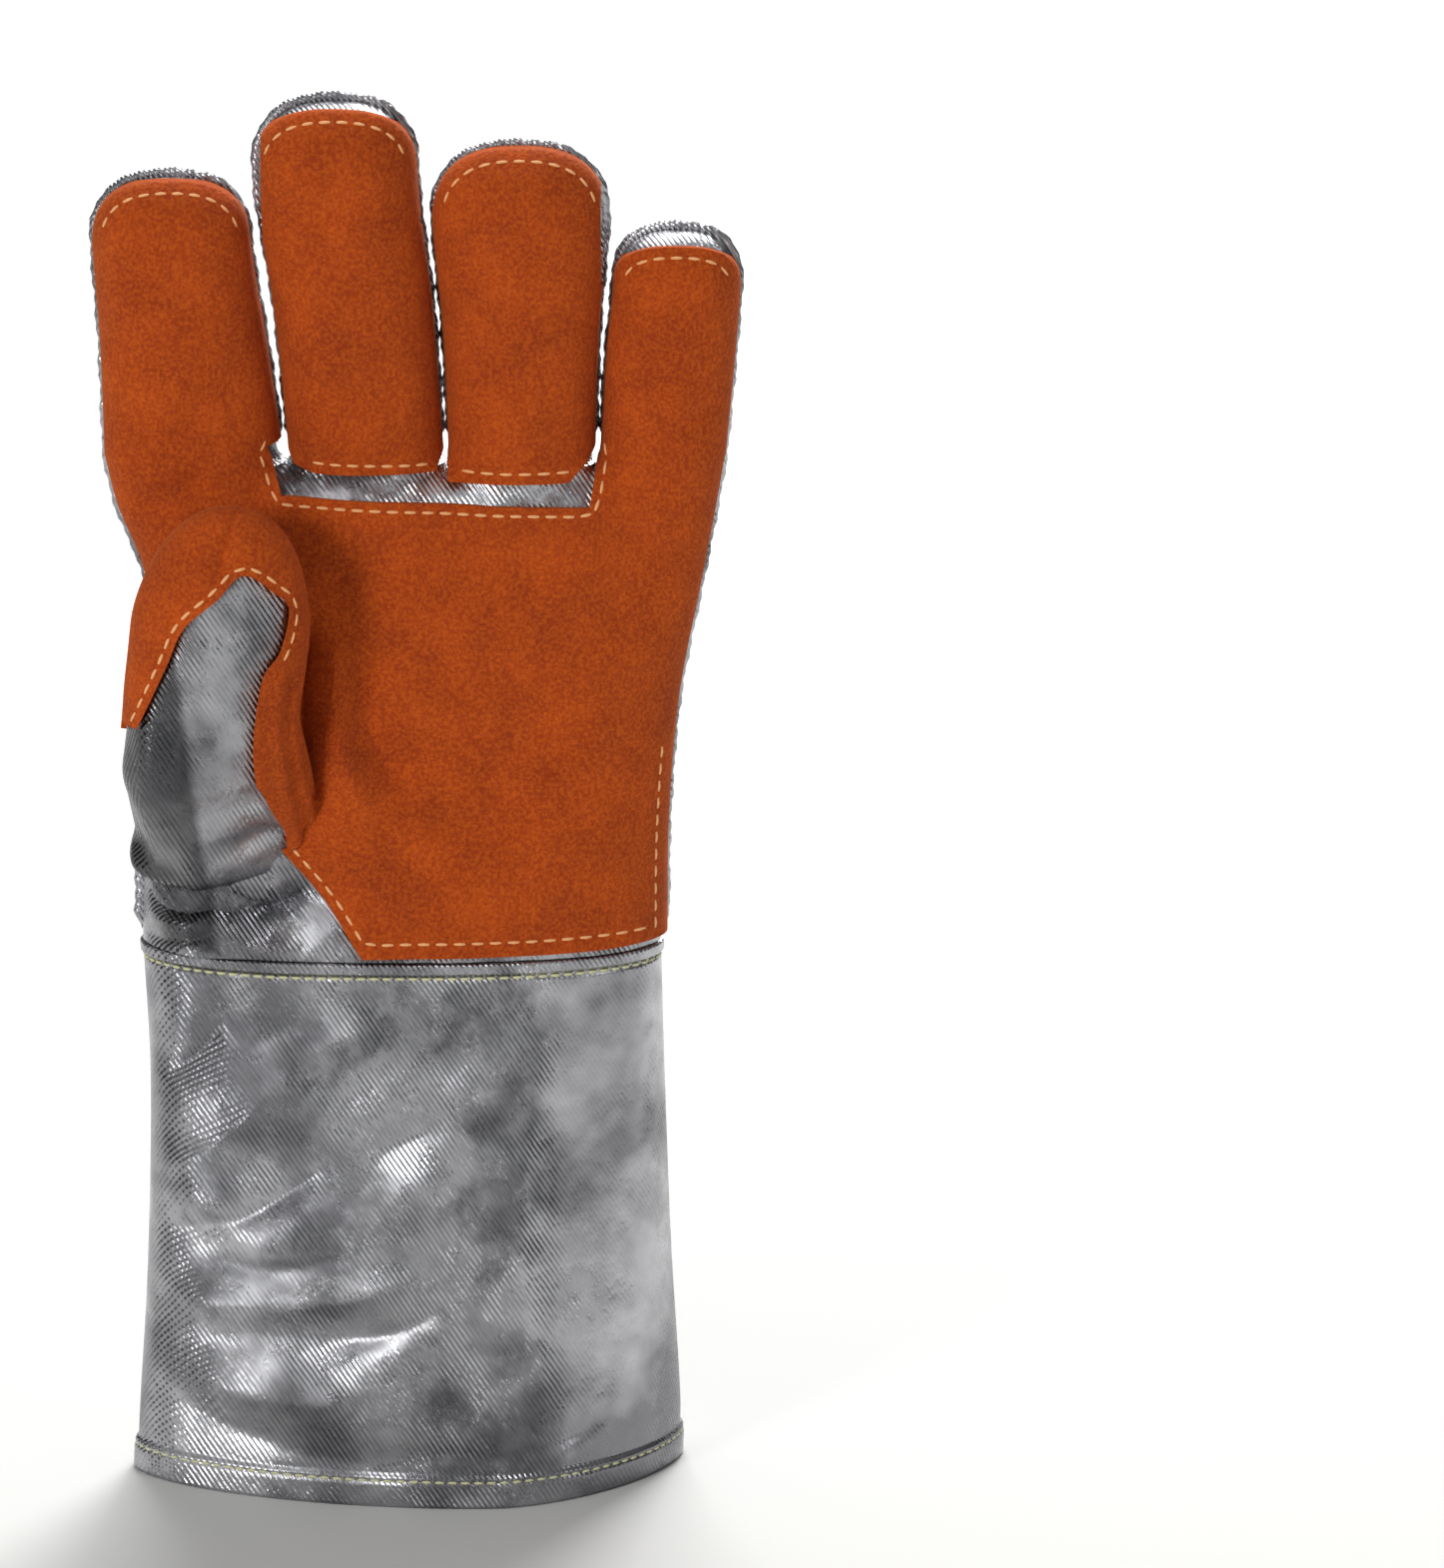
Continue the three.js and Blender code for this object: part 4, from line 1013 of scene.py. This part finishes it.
# the turned hem, the band of the seam at the wrist, and the grooves along their stitches
relief = cuff["hemFold"] * smoothStep(outerZ / 1.2 + 0.3)
relief *= 1 - smoothStep((outerZ - cuff["hem"] - 0.4) / 1.8)
band = cuff["bandRise"] * smoothStep((outerZ - top + cuff["band"] + 0.3) / 0.8)
relief += band * smoothStep((top - outerZ) / 0.7 + 0.25)
relief -= 0.45 * bell(outerZ, cuff["hem"], 0.6) + 0.4 * bell(outerZ, top - cuff["band"] - 0.8, 0.6)
innerZ = np.linspace(top, 0, 14)
outerRings = cuffRings(outerZ, relief, True)
innerRings = cuffRings(innerZ, np.full(14, -glove["shellWall"]), False)
rings = np.concatenate([outerRings, innerRings, outerRings[:1]])
rings = np.concatenate([rings, rings[:, :1]], axis=1)
cuffCloth = gridObject("cuffCloth", rings, False)
print("cuff made", len(cuffCloth.data.polygons))

# Seams: the cloths' raw edges, sewn together, stand out along the fingers and the hand's sides

seam = {"out": 2.1, "sideOut": 2.3, "tipOut": 2.0, "wide": 1.9, "back": 1.5, "sides": 10}


def tube(path, outward, size):
    # oval rings along a path, one axis outwards and one along y; a size of nothing closes an end
    turn = np.linspace(0, 2 * np.pi, seam["sides"], endpoint=False)[None, :, None]
    rings = path[:, None, :] + size[:, :1, None] * np.cos(turn) * outward[:, None, :]
    rings = rings + size[:, 1:, None] * np.sin(turn) * np.array([0, 1.0, 0])
    return np.concatenate([rings, rings[:, :1]], axis=1)


def fingerOutline(number, inset=0.0):
    # up one side of a finger, over its tip and down the other, the outer fingers from and to the wrist
    length, dome = fingerReach(number)
    tip = length - dome + dome * np.sin(np.radians(np.linspace(0, 90, 40)))
    height = np.concatenate([np.linspace(slotRound, length - dome, 60, endpoint=False), tip])
    middle, half, _ = fingerSection(number, height, -inset)
    rise = np.stack([middle - half, crotch + height], axis=1)
    fall = np.stack([middle + half, crotch + height], axis=1)[::-1]
    share = np.linspace(0.01, 0.985, 60)
    below = wrist + share * glove["palmLength"]
    if number == 0:
        rise = np.concatenate([np.stack([stripEdge(0, share, -inset), below], axis=1), rise])
    if number == 3:
        fall = np.concatenate([fall, np.stack([stripEdge(4, share, -inset), below], axis=1)[::-1]])
    return evenly(np.concatenate([rise, fall]), 1.3)


def seamRidge(number):
    # a tube along a finger's outline, its size swelling by two sines and closing at both ends
    line = fingerOutline(number)
    count = len(line)
    outward = beside(line, 1.0) - line
    path = np.insert(line + 0.3 * outward, 1, seam["back"], axis=1)
    end = smoothStep(np.minimum(np.arange(count), np.arange(count)[::-1]) / 4)
    over = smoothStep((outward[:, 1] - 0.2) / 0.6)
    outer = smoothStep((-outward[:, 0] - 0.6) / 0.3) if number == 0 else 0
    beads = 1 + 0.08 * np.sin(np.arange(count) * 1.9) + 0.08 * np.sin(np.arange(count) * 0.63)
    out = seam["out"] + (seam["tipOut"] - seam["out"]) * over
    out = out + (seam["sideOut"] - seam["out"]) * outer
    size = np.stack([out * beads, seam["wide"] * (1 - 0.3 * over)], axis=1)
    rings = tube(path, np.insert(outward, 1, 0, axis=1), size * end[:, None])
    return gridObject(f"fingerSeam{number + 1}", rings, True)


ridges = [seamRidge(number) for number in range(4)]
print("seams made")

clothPieces = [(cuffCloth, "cuff"), (backPanel, "back_panel"), (palmBacking, "palm_backing")]
clothPieces += [(thumbPanel, "thumb_panel"), *((ridge, None) for ridge in ridges)]
leatherPieces = [(palmLeather, "palm_leather"), (middleLeather, "middle_finger_leather")]
leatherPieces += [(ringLeather, "ring_finger_leather"), (thumbLeather, "thumb_leather")]
for thing, node in clothPieces:
    place(thing, node, "aluminised_cloth", aluminised)
for thing, node in leatherPieces:
    place(thing, node, "split_leather", suede)
for thing in list(bpy.data.objects):
    if thing.type == "MESH" and "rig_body" not in thing:
        bpy.data.objects.remove(thing)
print("cloth and leather placed")

# Stitches: short raised threads laid on the finished surfaces

leatherStitch = {"pitch": 4.7, "dash": 3.4, "wide": 0.95, "high": 0.6}
clothStitch = {"pitch": 3.5, "dash": 2.7, "wide": 0.95, "high": 0.7}


def threads(starts, ends, normals, size):
    # each stitch is a spindle of six sides from start to end, flattened along the surface's normal
    # and bowed up by a parabola
    length = np.linalg.norm(ends - starts, axis=1, keepdims=True)
    forward = (ends - starts) / length
    sideways = unit(np.cross(normals, forward))
    up = np.cross(forward, sideways)
    rows = np.array([[-0.5, 0.0], [-0.4, 0.75], [0.0, 1.0], [0.4, 0.75], [0.5, 0.0]])
    turn = np.linspace(0, 2 * np.pi, 7)
    u, fat = np.meshgrid(rows[:, 0], turn, indexing="ij")[0], rows[:, 1:] + 0 * turn
    acrossBy = fat * np.cos(turn) * size["wide"] / 2
    upBy = fat * np.sin(turn) * size["high"] / 2
    bow = 0.35 * size["high"] * (1 - 4 * u**2) - 0.1
    middle = ((starts + ends) / 2)[:, None, None, :]
    spindle = middle + (u[None, :, :, None] * length[:, None, None]) * forward[:, None, None, :]
    spindle = spindle + millimetre * acrossBy[None, :, :, None] * sideways[:, None, None, :]
    spindle = spindle + millimetre * (upBy + bow)[None, :, :, None] * up[:, None, None, :]
    cells = gridFaces(5, 7, 0, False)[None] + 35 * np.arange(len(starts))[:, None, None]
    return spindle.reshape(-1, 3), cells.reshape(-1, 3)


def sew(name, rows, size, material):
    # the stitches of several rows as one mesh
    starts, ends, normals = (np.concatenate([row[k] for row in rows]) for k in range(3))
    points, faces = threads(starts, ends, normals, size)
    points, faces = weld(points / millimetre, faces)
    thing = meshObject(name, points * millimetre, faces)
    thing.data.polygons.foreach_set("use_smooth", np.ones(len(faces), bool))
    thing.data.materials.append(material)
    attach(thing, "root")


def surfaceTree(*things):
    # the pieces' faces, to drop stitches on
    points, faces = [], []
    for thing in things:
        first = len(points)
        points += [vertex.co[:] for vertex in thing.data.vertices]
        faces += [[first + k for k in polygon.vertices] for polygon in thing.data.polygons]
    return BVHTree.FromPolygons(points, faces)


def castRow(surface, line, side, size):
    # a line in x and z dropped on a surface from its front or its back, one stitch to each pitch
    line = evenly(line, size["pitch"])
    share = (1 - size["dash"] / size["pitch"]) / 2
    row = []
    for a, b in zip(line[:-1], line[1:]):
        ends = (a + share * (b - a), b - share * (b - a))
        places = [((x + glove["placeX"]) * millimetre, side * 0.5, z * millimetre) for x, z in ends]
        start, end = (surface.ray_cast(place, (0, -side, 0)) for place in places)
        # kept where both ends land on faces turned this way, and close to each other in depth
        if not start[0] or not end[0] or min(start[1].y * side, end[1].y * side) <= 0.12:
            continue
        if (start[0] - end[0]).length < 1.5 * size["pitch"] * millimetre:
            row.append([start[0][:], end[0][:], (start[1] + end[1])[:]])
    return np.array(row).reshape(-1, 3, 3).transpose(1, 0, 2)


def ringRow(z, offset, size):
    # stitches round the cuff at a height
    ring = cuffRings(np.array([z]), np.array([offset]), True)[0]
    ring = toFrame(evenly(np.concatenate([ring, ring[:1]]), size["pitch"]))
    share = (1 - size["dash"] / size["pitch"]) / 2
    a, b = ring[:-1] + share * np.diff(ring, axis=0), ring[1:] - share * np.diff(ring, axis=0)
    return np.stack([a, b, np.cross(b - a, [0, 0, 1.0])])


leatherFaces = surfaceTree(palmLeather, middleLeather, ringLeather)
hoodFaces = surfaceTree(thumbLeather)
backFaces = surfaceTree(backPanel)
hoodRow = beside(windowEdge, 2.2)
hoodRow = hoodRow[(hoodRow[:, 0] < -45) | (hoodRow[:, 1] > thumbPoint(0, 0.66)[1])]
rows = [castRow(leatherFaces, line, front, leatherStitch) for line in leatherLines]
rows.append(castRow(hoodFaces, hoodRow, front, leatherStitch))
sew("leatherStitches", rows, leatherStitch, peachThread)
bandEdge = top - cuff["band"] - 0.9
rows = [ringRow(cuff["hem"], 0.62, clothStitch), ringRow(bandEdge, -0.2, clothStitch)]
indexEdge = fingerOutline(0, 3.4)
indexEdge = indexEdge[(indexEdge[:, 0] < -56) & (indexEdge[:, 1] > 195)]
thumbSide = [[-44.2, 238], [-44.2, 150]]
rows += [castRow(backFaces, line, back, clothStitch) for line in (indexEdge, thumbSide)]
sew("clothStitches", rows, clothStitch, strawThread)
print("stitches laid")

# Stage: pale floor, soft lights, and the camera at the photograph's angle

corners = np.array([[-6.0, -6, 0], [6, -6, 0], [6, 6, 0], [-6, 6, 0]])
floor = meshObject("floor", corners, [[0, 1, 2], [0, 2, 3]])
paper, _, _ = newMaterial("palePaper", Base_Color=linear("#C9C9C7"), Roughness=0.9)
floor.data.materials.append(paper)

view = {"target": (0.0812, 0.010, 0.1905), "distance": 3.0, "elevation": 14.0, "frameHeight": 0.423}
cameraData = bpy.data.cameras.new("camera")
cameraData.sensor_fit = "VERTICAL"
cameraData.sensor_height = 36.0
cameraData.lens = 36.0 * view["distance"] / view["frameHeight"]
camera = addObject("camera", cameraData)
tilt = np.radians(view["elevation"])
towards = np.array([0, -np.cos(tilt), np.sin(tilt)])
camera.location = np.array(view["target"]) + view["distance"] * towards
camera.rotation_euler = (np.pi / 2 - tilt, 0, 0)
bpy.context.scene.camera = camera

lights = [
    {"name": "keyLight", "at": (-1.5, -2.2, 0.9), "size": 0.6, "watts": 32},
    {"name": "fillLight", "at": (2.0, -1.4, 0.8), "size": 0.8, "watts": 5},
    {"name": "topLight", "at": (0.1, 1.5, 2.4), "size": 1.0, "watts": 64},
    {"name": "backLight", "at": (0.9, 2.9, 1.7), "size": 1.2, "watts": 96},
]
for lamp in lights:
    data = bpy.data.lights.new(lamp["name"], "AREA")
    data.size, data.energy = lamp["size"], lamp["watts"]
    thing = addObject(lamp["name"], data)
    thing.location = lamp["at"]
    aim = np.array([0, 0, 0.18]) - np.array(lamp["at"])
    heading = np.arctan2(aim[0], -aim[1]) + np.pi
    thing.rotation_euler = (np.arctan2(np.hypot(aim[0], aim[1]), -aim[2]), 0, heading)

# the studio: dim at the horizon and brighter overhead, with soft patches of light
world = bpy.data.worlds.new("studio")
world.use_nodes = True
tree = world.node_tree
sky = addNode(tree, "ShaderNodeTexCoord", {}, {}).outputs["Generated"]
height = addNode(tree, "ShaderNodeSeparateXYZ", {}, {"Vector": sky}).outputs["Z"]
patches = addNode(tree, "ShaderNodeTexNoise", {"Scale": 2.2, "Detail": 1.0}, {"Vector": sky})
level = mapped(tree, height, 0.22, 0.75, 0.04, 0.6)
glow = maths(tree, "MULTIPLY", level, mapped(tree, patches.outputs["Fac"], 0.4, 0.6, 0.5, 1.5))
tree.nodes["Background"].inputs["Color"].default_value = linear("#F6F6F6")
tree.links.new(glow, tree.nodes["Background"].inputs["Strength"])
bpy.context.scene.world = world
bpy.context.scene.view_settings.view_transform = "Standard"

print("stage set")
